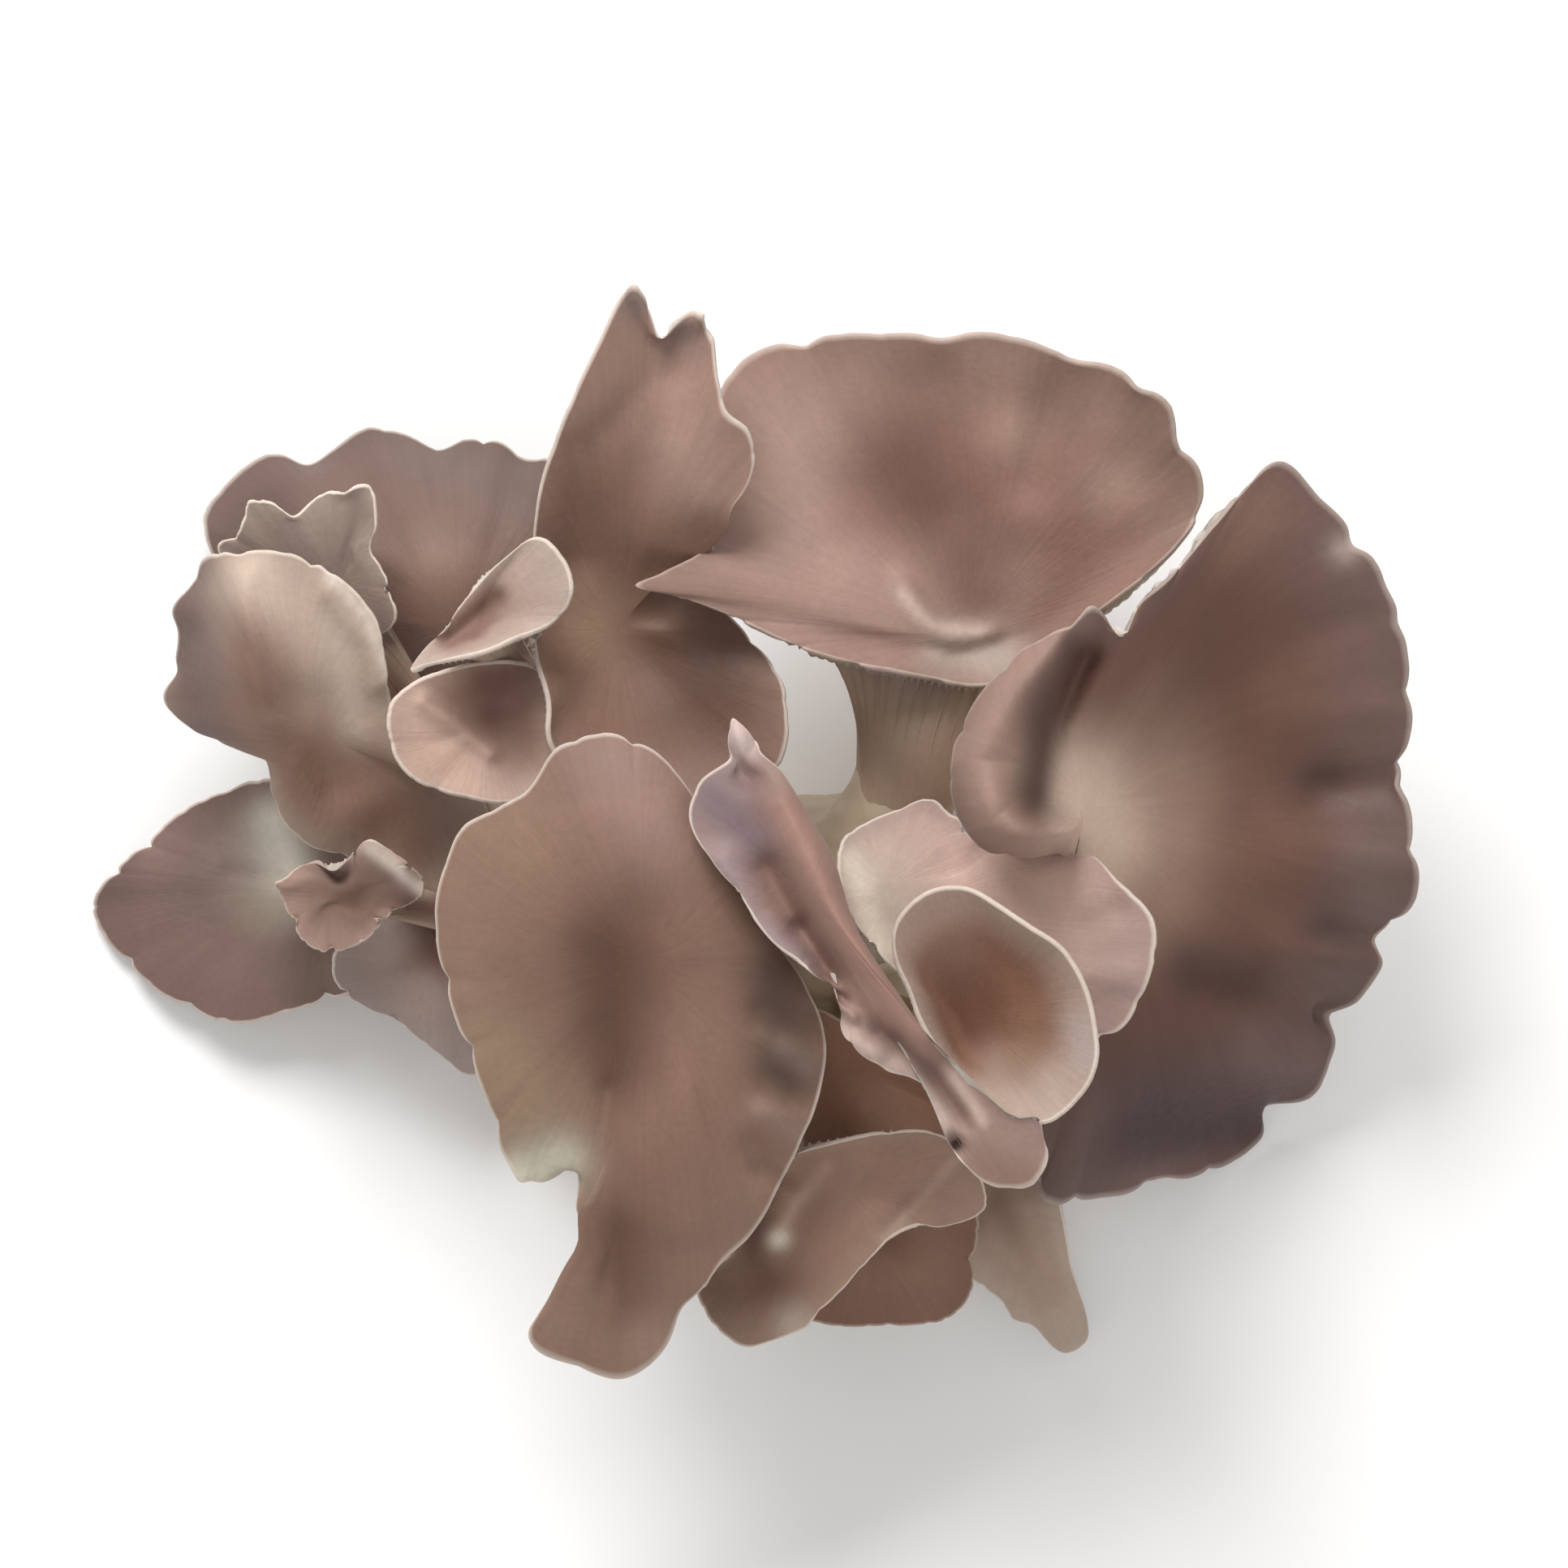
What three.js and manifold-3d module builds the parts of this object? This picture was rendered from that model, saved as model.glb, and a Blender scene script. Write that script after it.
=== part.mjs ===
// Oyster mushroom cluster, millimetres, +Z up.
// Every mushroom is one closed skin: a crown point, rings out over the cap, a thin rim,
// rings back along the gills, and rings down the stem to a rounded foot in the shared base.
import * as THREE from 'three';
import Module from 'manifold-3d';

// ---- driving dimensions (mm) ----
const RIM_THICKNESS = 1.3;
const SOCKET_GAP = 0.45;
const FOOT_ROUNDING = 1.6;
const STEM_RINGS = 5;
const SOCKET_RINGS = 4;
const GILL_START = 0.42;
const FLESH_TAPER = 0.8;
const STEM_TWIST = 0.5;
const FOOT_SHARE = 0.62;
const FOOT_TIP = 0.5;
const BASE_SPOKES = 30;
const BIG = { spokes: 32, capRings: 5, gillRings: 3 };
const MEDIUM = { spokes: 26, capRings: 4, gillRings: 3 };
const SMALL = { spokes: 20, capRings: 4, gillRings: 3 };

// Each mushroom: crown, then one row per control spoke, counter-clockwise seen from above:
// [point halfway out, point on the rim]. The stem runs from the gills to the foot as
// [x, y, z, radius].
const MUSHROOMS = {
  right_cap: {
    size: BIG, flesh: 5, colour: '#6f5044', crown: [53, 4, 50],
    spokes: [
      [[80, 6, 44], [103, 9, 45]], [[78, 18, 48], [104, 22, 50]], [[74, 28, 55], [100, 40, 54]],
      [[70, 32, 61], [91, 50, 58]], [[67, 32, 64], [83, 58, 62]], [[62, 28, 66], [72, 47, 68]],
      [[56, 22, 67], [62, 36, 72]], [[50, 19, 70], [52, 33, 74]], [[46, 16, 74], [42, 28, 70]],
      [[44, 12, 76], [33, 17, 66]], [[43, 7, 76], [31, 7, 65]], [[44, 2, 75], [35, -1.5, 65]],
      [[48, 0, 70], [42, -4, 66]], [[51, 0, 60], [49, -3.6, 56]], [[51, -4, 50], [49, -10, 48]],
      [[49, -11, 47], [44, -26, 45]], [[50, -18, 44], [45, -40, 41]],
      [[53, -26, 42], [45, -54, 37]], [[56, -27, 41], [49, -59, 33]],
      [[61, -28, 38], [61, -57, 19]], [[67, -25, 36], [74, -55, 4]],
      [[71, -22, 37], [84, -48, 5]], [[74, -18, 38], [91, -41, 9]],
      [[76, -14, 39], [94, -32, 18]], [[78, -9, 41], [101, -20, 30]],
      [[80, -2, 42], [105.5, -9, 40]],
    ],
    stem: [[49, 0, 40, 7], [41, -7, 31, 7], [31, -15, 23, 6.5], [23, -19, 18, 6]],
  },
  top_right_cap: {
    size: BIG, flesh: 5, colour: '#8d6a5f', crown: [34, 31, 42],
    spokes: [
      [[46, 33, 43], [56, 36, 48]], [[50, 37, 44], [66, 44, 50]], [[52, 42, 45], [71, 53, 50]],
      [[51, 48, 46], [68, 64, 52]], [[48, 52, 46], [61, 71, 54]], [[43, 54, 45], [50, 75, 54]],
      [[38, 55, 44], [38, 78, 53]], [[31, 56, 45], [25, 78, 52]], [[24, 55, 46], [12, 78, 50]],
      [[17, 51, 47], [0, 75, 47]], [[13, 48, 48], [-6, 66, 46]], [[12, 44, 49], [-6, 54, 47]],
      [[12, 39, 51], [-8, 43.2, 55]], [[9, 36, 53], [-18, 39, 60]],
      [[14, 33, 51], [-6, 35.5, 57]], [[19, 31, 48], [5, 30.5, 55]],
      [[25, 29, 45], [16, 27, 52]], [[29, 28, 43.5], [25, 25, 49]],
      [[33, 27, 42.5], [33, 24, 46]], [[37, 28, 42], [40, 24, 45]],
      [[41, 30, 42], [48, 30, 46]],
    ],
    stem: [[27, 25, 36, 8.5], [26, 15, 31, 8.5], [24, 4, 25, 8.5], [18, -5, 19, 8]],
  },
  top_centre_cap: {
    size: BIG, flesh: 4.5, colour: '#84665a', crown: [-21, 32, 46],
    spokes: [
      [[-14, 34, 45], [-6, 37, 45]], [[-15, 38, 48], [-9.7, 44, 53]],
      [[-12, 42, 53], [-3, 51, 60]], [[-11, 46, 56], [1, 60, 64]],
      [[-14, 50, 58], [-5, 71, 66]], [[-15, 54, 59], [-7, 81, 67]],
      [[-17, 56, 58], [-14, 80, 66]], [[-18, 57, 58], [-18, 86, 68]],
      [[-22, 53, 57], [-24, 75, 66]], [[-25, 49, 55], [-29, 64, 63]],
      [[-27, 43, 52], [-33, 52, 58]], [[-28, 36, 49], [-34, 40, 52]],
      [[-28, 31, 49], [-34, 31, 54]], [[-27, 26, 50], [-31.5, 22, 57]],
      [[-25, 21, 50], [-30, 12, 57]], [[-20, 18, 49], [-20, 5, 54]],
      [[-13, 18, 48], [-6, 5, 51]], [[-9, 20, 48], [2, 7, 50]], [[-8, 23, 48], [5.5, 14, 51]],
      [[-8, 26, 47.5], [5.5, 22, 51]], [[-9, 30, 46.5], [1.5, 29, 48]],
    ],
    stem: [[-20, 27, 37, 6], [-15, 14, 31, 6], [-10, 0, 26, 6.5], [-8, -8, 22, 6.5]],
  },
  front_cap: {
    size: BIG, flesh: 5.5, colour: '#7d5f52', crown: [-16, -20, 71],
    spokes: [
      [[-3, -22, 73], [9, -24, 70]], [[-6, -16, 74], [1, -12, 71]],
      [[-9, -11, 75], [-3, -3, 72]], [[-12, -6, 76], [-9, 6, 73]],
      [[-16, -3, 77], [-15, 13, 74]], [[-19, -2, 77], [-22, 15.5, 74]],
      [[-23, -4, 76], [-30, 13, 73]], [[-27, -7, 75], [-36, 5, 71]],
      [[-30, -10, 74], [-44, 2, 68]], [[-33, -14, 73], [-48, -6, 66]],
      [[-34, -19, 72], [-49, -17, 65]], [[-32, -25, 71], [-46, -29, 64]],
      [[-29, -31, 70], [-41, -42, 63]], [[-27, -37, 68], [-37, -53, 60]],
      [[-24, -39, 68], [-30, -55, 60]], [[-22, -42, 68], [-26, -62, 61]],
      [[-21, -46, 69], [-29, -71, 60]], [[-21, -49, 69], [-34, -80, 57]],
      [[-18, -51, 70], [-20, -86, 56]], [[-13, -48, 71], [-9, -76, 59]],
      [[-9, -44, 72], [-6, -69, 62]], [[-7, -40, 72], [1, -62, 64]],
      [[-4, -36, 73], [7, -50, 66]], [[-2, -29, 73], [12, -36, 68]],
    ],
    stem: [[-15, -22, 62, 8], [-14, -23, 48, 8], [-11, -24, 36, 8], [-10, -24, 27, 8]],
  },
  ruffled_fold: {
    size: MEDIUM, flesh: 3, colour: '#8a6d65', crown: [9, -9, 83],
    spokes: [
      [[25, -28, 82], [38, -44, 76]], [[20, -22, 83], [29.5, -34, 79]],
      [[16.5, -16.5, 83], [22.5, -24, 80]], [[13.5, -12, 83], [17, -15, 80]],
      [[12, -7, 83], [13.5, -5, 80]], [[10, -3, 83], [10, 2, 80]],
      [[7, 0.5, 82], [5.5, 9, 79]], [[5, 3.5, 81], [2, 13.5, 78]],
      [[2.5, 4.5, 81], [-2.5, 18, 77]], [[1.5, 1.5, 81], [-4.5, 12, 77]],
      [[1, -2, 80.5], [-9, 5, 78]], [[2, -6, 80], [-8, -1, 79]], [[4, -9, 80], [-2, -9, 79]],
      [[7, -13, 80], [4, -17, 79]], [[10, -16, 80], [11, -23, 79]],
      [[13, -21, 80], [14, -31, 78]], [[16, -24, 80], [20, -36, 78]],
      [[20, -28, 80], [28, -40, 77]], [[24, -32, 79], [32, -50, 75]],
      [[26, -32, 80], [41, -56, 73]], [[27, -31, 81], [47, -50, 74]],
    ],
    stem: [[8, -10, 76, 3.6], [7, -11, 62, 3.6], [5, -13, 46, 4], [2, -15, 33, 4.2],
      [1, -16, 27, 4.2]],
  },
  centre_right_cap: {
    size: MEDIUM, flesh: 3.5, colour: '#a3877b', crown: [22, -9, 56],
    spokes: [
      [[42, -13, 56], [63, -14, 60]], [[40, -9.5, 56], [57, -8, 59]],
      [[36, -7.5, 55.5], [50, -6.6, 57]], [[32, -6, 55], [42, -6.2, 56]],
      [[29, -3, 55], [35, -1, 55]], [[26, 0, 54.5], [31, 6, 54]], [[22, -3, 55], [22, 3, 54]],
      [[18.5, -5, 55], [15, -1, 55]], [[18, -9, 56], [14.5, -8, 57]],
      [[20, -13, 56], [18, -16, 57]], [[24, -16, 56], [24, -22, 58]],
      [[29, -18, 56], [33, -27, 58]], [[34, -21, 56], [45, -31, 58]],
      [[40, -22, 56], [56, -32, 57]], [[42, -18, 56], [62, -24, 59]],
    ],
    stem: [[20, -12, 49, 4.6], [17, -16, 40, 4.6], [13, -20, 31, 5], [11, -21, 26, 5]],
  },
  round_cap: {
    size: SMALL, flesh: 3, colour: '#8b6755', crown: [34, -29, 65.5],
    spokes: [
      [[44, -29, 68], [53.5, -30, 74]], [[43, -24, 68], [50, -20, 75]],
      [[39, -20, 68], [42, -14, 75]], [[35, -18, 68], [34, -9, 74]],
      [[30, -19, 68], [27, -10, 73]], [[28, -23, 68], [22.5, -16, 72]],
      [[30, -27, 67], [25, -24, 71]], [[31, -30, 66.5], [28, -31, 71]],
      [[33, -34, 66.5], [33, -38, 71]], [[36, -36, 67], [39, -43, 72]],
      [[40, -37, 68], [46, -45, 73]], [[44, -33, 68], [53, -38, 74]],
    ],
    stem: [[31.5, -32, 59, 3.4], [29.5, -32, 50, 3.4], [26, -30, 40, 3.6], [20, -29, 30, 3.8],
      [18, -30, 25, 3.8]],
  },
  upper_left_cap: {
    size: MEDIUM, flesh: 4, colour: '#8f7369', crown: [-46, 33, 30],
    spokes: [
      [[-39, 34, 30], [-33, 36, 30]], [[-37, 38, 31], [-29, 46, 28]],
      [[-37, 44, 31], [-29, 57, 24]], [[-40, 47, 30], [-36, 61, 20]],
      [[-44, 48, 30], [-43, 63, 17]], [[-48, 48, 29], [-51, 62, 12]],
      [[-53, 48, 28], [-60, 65, 6]], [[-57, 46, 27], [-69, 61, 3]],
      [[-61, 45, 26], [-78, 60, 3]], [[-64, 42, 25], [-86, 54, 5]],
      [[-65, 38, 25], [-87, 47, 10]], [[-62, 34, 26], [-80, 36, 15]],
      [[-56, 31, 27], [-66, 28, 21]], [[-50, 29, 28], [-54, 24, 25]],
      [[-46, 28, 28], [-46, 23, 26]], [[-41, 29, 29], [-37, 26, 28]],
    ],
    stem: [[-44, 29, 23, 5.5], [-36, 18, 18, 5.5], [-26, 4, 14, 6], [-18, -6, 12, 6]],
  },
  left_fold_cap: {
    size: MEDIUM, flesh: 3.5, colour: '#8a6f62', crown: [-67, 15, 41],
    spokes: [
      [[-59, 12, 41], [-50, 9, 43]], [[-62, 16, 43], [-56, 17, 46]],
      [[-63, 20, 45], [-57, 25, 50]], [[-66, 25, 48], [-59, 34, 53]],
      [[-69, 28, 50], [-66, 41, 54]], [[-72, 30, 51], [-74, 44, 53]],
      [[-76, 29, 52], [-82, 44, 50]], [[-78, 27, 51], [-87, 42, 44]],
      [[-79, 24, 50], [-89, 33, 40]], [[-80, 19, 47], [-93, 21, 36]],
      [[-78, 14, 44], [-86, 15, 37]], [[-73, 11, 42], [-77, 12, 39]],
      [[-71, 8, 40], [-75, 4, 36]], [[-67, 5, 38], [-70, -2, 33]],
      [[-62, 4, 37], [-61, -4.5, 31.5]], [[-57, 5, 37], [-50, -5, 31]],
      [[-55, 7, 38], [-42, -1, 34]], [[-56, 10, 39.5], [-42, 5, 39]],
    ],
    stem: [[-66, 12, 32, 4.6], [-57, 4, 24, 4.6], [-45, -8, 18, 4.6], [-34, -16, 14.5, 4.6]],
  },
  frilled_cap: {
    size: SMALL, flesh: 2.5, colour: '#8a796e', crown: [-66, 38, 39],
    spokes: [
      [[-61, 36, 40], [-56, 34, 41]], [[-62, 41, 41], [-58, 42, 42]],
      [[-62, 44, 41], [-59, 50, 43]], [[-64, 46, 42], [-63, 55, 44]],
      [[-67, 46, 41], [-68, 53, 42]], [[-70, 46, 41], [-74, 52, 42]],
      [[-73, 45, 40], [-79, 52, 41]], [[-74, 43, 39], [-80, 48, 40]],
      [[-75, 41, 38], [-84, 44, 38]], [[-71, 38, 38], [-76, 37, 37]],
      [[-67, 36, 38], [-68, 33, 37]], [[-63, 34, 38.5], [-60, 31, 38]],
    ],
    stem: [[-63, 34, 34, 2.6], [-54, 23, 33, 2.8], [-46, 8, 29, 3], [-38, -3, 25, 2.8],
      [-32, -8, 21, 2.8]],
  },
  spoon_cap: {
    size: SMALL, flesh: 1.8, colour: '#a38a7d', crown: [-43, 31, 60],
    spokes: [
      [[-38, 33, 61], [-31, 33, 64]], [[-36, 35, 61.5], [-28, 37, 66]],
      [[-37, 37, 61.5], [-29, 42, 66]], [[-39, 39, 61], [-33, 46, 65]],
      [[-41, 37, 60], [-38, 43, 63]], [[-43, 34.5, 60], [-43, 38, 61]],
      [[-46, 32, 60], [-47, 33, 60]], [[-48, 29, 60], [-53, 26, 60]],
      [[-47, 29, 61], [-49, 27, 62]], [[-43, 29.5, 61.5], [-42, 28.5, 64]],
      [[-40, 31, 61.5], [-36, 31, 64]],
    ],
    stem: [[-42.5, 31, 56, 2.2], [-41, 30, 47, 2.6], [-36, 26, 38, 2.8], [-28, 14, 32, 3],
      [-21, 3, 27, 3], [-19, -2, 22, 3]],
  },
  shell_cap: {
    size: SMALL, flesh: 3, colour: '#7a5c50', crown: [-42, 17, 48],
    spokes: [
      [[-37, 17, 48], [-31, 17, 51]], [[-37, 20, 48.5], [-31.5, 24, 51]],
      [[-39, 22, 49], [-37, 26.5, 52]], [[-43, 21, 49.5], [-44, 26, 53]],
      [[-46, 20, 50], [-51, 24, 54]], [[-48, 18, 51], [-56, 20, 55]],
      [[-48, 15, 50], [-56, 14, 54]], [[-47, 13, 50], [-53, 9, 53]],
      [[-44, 12, 49], [-47, 6.5, 52]], [[-40, 12, 48.5], [-38, 5, 51]],
      [[-37, 13, 48], [-31, 8, 50]],
    ],
    stem: [[-41, 15, 41, 4], [-35, 7, 35, 4.2], [-27, -4, 28, 4.4], [-22, -11, 23, 4.6]],
  },
  left_cap: {
    size: MEDIUM, flesh: 3.5, colour: '#7b6158', crown: [-70, -10, 14],
    spokes: [
      [[-64, -10, 15], [-58, -10, 18]], [[-66, -5, 15], [-62, 0, 18]],
      [[-70, -2, 15], [-70, 7, 17]], [[-75, -2, 14], [-79, 8, 15]],
      [[-80, -3, 13], [-88, 5, 12]], [[-84, -6, 12], [-97, -2, 9]],
      [[-87, -9, 10], [-104, -9, 4]], [[-88, -11, 9], [-105, -14, 2]],
      [[-86, -14, 9], [-100, -21, 3]], [[-82, -18, 10], [-91, -28, 6]],
      [[-77, -19, 12], [-82, -30.5, 9]], [[-71, -18, 13], [-72, -28, 12]],
      [[-66, -17, 14], [-63, -25, 15]], [[-63, -13, 15], [-57, -18, 17]],
    ],
    stem: [[-64, -11, 8, 3.6], [-52, -16, 6.5, 4], [-40, -22, 6, 4.2], [-34, -24, 6.5, 4.2]],
  },
  knotted_cap: {
    size: SMALL, flesh: 2.2, colour: '#8b7569', crown: [-63, -10, 38],
    spokes: [
      [[-58, -9, 40], [-52, -10, 42]], [[-58, -7.5, 41], [-53, -6, 44]],
      [[-62, -7, 40], [-60, -2, 43]], [[-65, -7.5, 39], [-66, -3, 40]],
      [[-68, -9, 38], [-74, -6, 38]], [[-68, -12, 37.5], [-72, -15, 36]],
      [[-66, -14, 37], [-67, -19, 36]], [[-62, -14, 37.5], [-61, -17, 37]],
      [[-60, -12, 38], [-57, -13, 39]],
    ],
    stem: [[-61, -11, 33, 2.8], [-51, -12, 31.5, 2.8], [-41, -15, 28.5, 3.2], [-32, -19, 23.5, 3.4]],
  },
  lower_left_cap: {
    size: SMALL, flesh: 3, colour: '#907a70', crown: [-50, -20, 26],
    spokes: [
      [[-46, -20, 25], [-42, -20, 24]], [[-47, -17, 25], [-43, -15, 24]],
      [[-50, -15, 26], [-50, -12, 25.5]], [[-55, -16, 26], [-60, -12, 27]],
      [[-58, -20, 25], [-66, -20, 26]], [[-57, -23, 25], [-64, -26, 24]],
      [[-54, -25, 24], [-57, -30, 22]], [[-50, -27, 23], [-50, -35, 19]],
      [[-47, -29, 22], [-44, -39, 16]], [[-45, -27, 23], [-41, -34, 20]],
      [[-46, -23, 24.5], [-41, -26, 23]],
    ],
    stem: [[-46, -21, 20, 4], [-37, -25, 17, 4.4], [-29, -28, 15, 4.6]],
  },
  bottom_lobe_cap: {
    size: MEDIUM, flesh: 3, colour: '#7d6052', crown: [16, -57, 52],
    spokes: [
      [[27, -56, 53], [37, -59, 50]], [[26, -53, 54], [36, -54, 53]],
      [[24, -51, 54.5], [31, -48, 55]], [[20, -51, 54.5], [23, -47, 56]],
      [[15, -52, 54], [14, -49, 56]], [[12, -55, 53.5], [8, -55, 55]],
      [[9, -59, 53], [3, -62, 53]], [[6, -62, 52], [-3, -67, 50]],
      [[4, -65, 51], [-8, -72, 47]], [[4, -68, 50], [-5, -78, 46]],
      [[7, -69, 50], [1, -81, 45]], [[12, -66, 51], [10, -76, 48]],
      [[16, -63, 52], [17, -69, 51]], [[20, -59, 52.5], [24, -62, 52]],
      [[24, -58, 52], [31, -62, 49]],
    ],
    stem: [[13, -56, 45, 4], [8, -51, 37, 4.4], [2, -43, 30, 4.4], [-2, -38, 25, 4.4]],
  },
  under_centre_cap: {
    size: SMALL, flesh: 2.8, colour: '#71503f', crown: [17, -38, 42],
    spokes: [
      [[25, -41, 43], [34, -45, 44]], [[22, -38, 43], [27, -39, 44]],
      [[19, -35, 42.5], [20, -33, 43]], [[15, -35, 42], [13, -31, 43]],
      [[12, -37, 42], [8, -35, 43]], [[12, -40, 42.5], [8, -42, 44]],
      [[15, -42, 43], [12, -46, 45]], [[18, -44, 44], [19, -50, 46]],
      [[22, -44, 44], [27, -50, 46]], [[26, -43, 44], [33, -48.5, 45]],
    ],
    stem: [[15, -37, 37, 3.6], [10, -34, 32, 3.8], [6, -31, 26, 4]],
  },
  bottom_cap: {
    size: SMALL, flesh: 3, colour: '#80604f', crown: [18, -61, 32],
    spokes: [
      [[27, -60, 33], [36, -60, 34]], [[25, -56, 33], [32, -53, 33]],
      [[20, -55, 32], [22, -50, 32]], [[15, -56, 32], [12, -52, 32]],
      [[11, -59, 32], [5, -58, 31]], [[10, -63, 32], [2, -67, 30]],
      [[12, -67, 32], [5, -75, 30]], [[16, -69, 32], [13, -78, 30]],
      [[20, -69, 32], [22, -78, 30]], [[24, -69, 33], [30, -77.5, 30]],
      [[27, -67, 33], [35, -73, 31]], [[27, -63, 33], [35.5, -66, 33]],
    ],
    stem: [[15, -58, 25, 4], [11, -50, 20, 4.4], [8, -42, 16, 4.8]],
  },
  bottom_right_cap: {
    size: SMALL, flesh: 2.6, colour: '#9a8272', crown: [40, -60, 26],
    spokes: [
      [[44, -59, 27], [49, -59, 28]], [[42, -56, 27], [45, -52, 28]],
      [[38, -56, 26], [37, -52, 27]], [[37, -60, 25], [33, -59, 25]],
      [[37, -64, 24], [33, -68, 22]], [[40, -67, 22], [38, -73, 18]],
      [[43, -70, 20], [44, -77, 13]], [[45, -72, 18], [48.5, -82, 6]],
      [[47, -72, 18], [53, -82, 4]], [[47, -69, 20], [54, -78, 7]],
      [[46, -64, 24], [51, -69, 19]],
    ],
    stem: [[37, -57, 20, 3.6], [29, -49, 16, 4], [19, -41, 13, 4.6]],
  },
};

// The shared base: outline at the cut face and at its widest, then the domed top.
const BASE = {
  crown: [-6, -22, 28],
  foot: [[26, -20], [22, 2], [4, 3], [-14, 6], [-32, -4], [-38, -22], [-30, -42],
    [-10, -48], [12, -46], [24, -36]],
  waist: [[30, -20], [27, 5], [4, 6], [-16, 10], [-37, -2], [-44, -22], [-35, -45],
    [-11, -52], [14, -50], [28, -38]],
  levels: [
    ['waist', 0.35, 26.5], ['waist', 0.72, 23], ['waist', 0.92, 16], ['waist', 1, 9],
    ['foot', 1, 2.5], ['foot', 0.98, 0], ['foot', 0.5, 0],
  ],
  colour: '#b7a792',
};

const lerp = (a, b, t) => a + (b - a) * t;
const sub = (a, b) => a.map((v, i) => v - b[i]);
const add = (a, b, k = 1) => a.map((v, i) => v + b[i] * k);
const length = (a) => Math.hypot(...a);
const unit = (a) => a.map((v) => v / (length(a) || 1));
const cross = (a, b) => [
  a[1] * b[2] - a[2] * b[1], a[2] * b[0] - a[0] * b[2], a[0] * b[1] - a[1] * b[0],
];

// Smooth closed or open curve through a list of points of any width.
function curve(points, u, closed) {
  const n = points.length;
  const span = closed ? n : n - 1;
  const s = closed ? ((u * span) % n + n) % n : Math.min(u * span, span - 1e-9);
  const i = Math.floor(s);
  const f = s - i;
  const at = (k) => points[closed ? (k + n) % n : Math.min(Math.max(k, 0), n - 1)];
  const [a, b, c, d] = [at(i - 1), at(i), at(i + 1), at(i + 2)];
  return b.map((_, k) => 0.5 * (2 * b[k] + (c[k] - a[k]) * f
    + (2 * a[k] - 5 * b[k] + 4 * c[k] - d[k]) * f * f
    + (3 * b[k] - a[k] - 3 * c[k] + d[k]) * f * f * f));
}

// A point on the cap skin: t runs from the crown (0) over the halfway point to the rim (1).
function capPoint(shape, u, t) {
  const mid = curve(shape.spokes.map((s) => s[0]), u, true);
  const rim = curve(shape.spokes.map((s) => s[1]), u, true);
  return shape.crown.map((c, k) => c * (1 - t) * (1 - 2 * t) + mid[k] * 4 * t * (1 - t)
    + rim[k] * t * (2 * t - 1));
}

// The direction square to the cap skin, away from its gills.
function capNormal(shape, u, t) {
  const [outStep, roundStep] = [0.02, 0.004];
  const outer = capPoint(shape, u, Math.min(t + outStep, 1));
  const out = sub(outer, capPoint(shape, u, t - outStep));
  const round = sub(capPoint(shape, u + roundStep, t), capPoint(shape, u - roundStep, t));
  return unit(cross(out, round));
}

// A point on the gill side: the flesh is thickest by the stem and thins to the rim.
function gillPoint(shape, u, t) {
  const depth = RIM_THICKNESS + (shape.flesh - RIM_THICKNESS) * (1 - t) ** FLESH_TAPER;
  return add(capPoint(shape, u, t), capNormal(shape, u, t), -depth);
}

// Stem rings square to the stem's run, turned so each point sits under its own spoke.
function stemRings(shape, grow, n) {
  const path = shape.stem;
  const hub = shape.crown;
  const raw = Array.from({ length: n }, (_, k) => {
    const p = gillPoint(shape, k / n, GILL_START);
    return Math.atan2(p[1] - hub[1], p[0] - hub[0]);
  });
  const start = raw[0];
  const angle = raw.map((a, k) => {
    const even = start + (2 * Math.PI * k) / n;
    const turn = Math.atan2(Math.sin(a - even), Math.cos(a - even));
    return even + STEM_TWIST * turn;
  });
  let tangent = unit(sub(path[1].slice(0, 3), path[0].slice(0, 3)));
  let axisX = unit(sub([1, 0, 0], tangent.map((v) => v * tangent[0])));
  const step = 0.02;
  const out = [];
  for (let r = 0; r < STEM_RINGS; r += 1) {
    const u = r / (STEM_RINGS - 1);
    const here = curve(path, u, false);
    const ahead = curve(path, Math.min(u + step, 1), false);
    const behind = curve(path, Math.max(u - step, 0), false);
    tangent = unit(sub(ahead.slice(0, 3), behind.slice(0, 3)));
    const along = tangent.reduce((s, v, k) => s + v * axisX[k], 0);
    axisX = unit(sub(axisX, tangent.map((v) => v * along)));
    const axisY = cross(axisX, tangent);
    out.push({ here, tangent, ring: angle.map((a) => here.slice(0, 3).map((c, k) => c
      + (here[3] + grow) * (Math.cos(a) * axisX[k] + Math.sin(a) * axisY[k]))) });
  }
  return out;
}

// Joins a top point, rings of equal count and a bottom point into one closed skin.
function skin(top, rings, bottom) {
  const n = rings[0].length;
  const points = [top, ...rings.flat(), bottom];
  const last = points.length - 1;
  const faces = [];
  for (let k = 0; k < n; k += 1) {
    const j = (k + 1) % n;
    faces.push([0, 1 + k, 1 + j]);
    for (let r = 0; r < rings.length - 1; r += 1) {
      const a = 1 + r * n;
      const b = a + n;
      faces.push([a + k, b + k, b + j], [a + k, b + j, a + j]);
    }
    const z = 1 + (rings.length - 1) * n;
    faces.push([z + k, last, z + j]);
  }
  return { points, faces };
}

// The foot ends in a narrower ring and a blunt tip.
function footOf(rings, grow) {
  const { here, tangent } = rings[rings.length - 1];
  const centre = here.slice(0, 3);
  const inner = rings[rings.length - 1].ring.map((p) => add(
    add(centre, sub(p, centre), FOOT_SHARE), tangent, FOOT_ROUNDING + grow));
  return { inner, tip: add(centre, tangent, FOOT_ROUNDING + FOOT_TIP + 2 * grow) };
}

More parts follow.
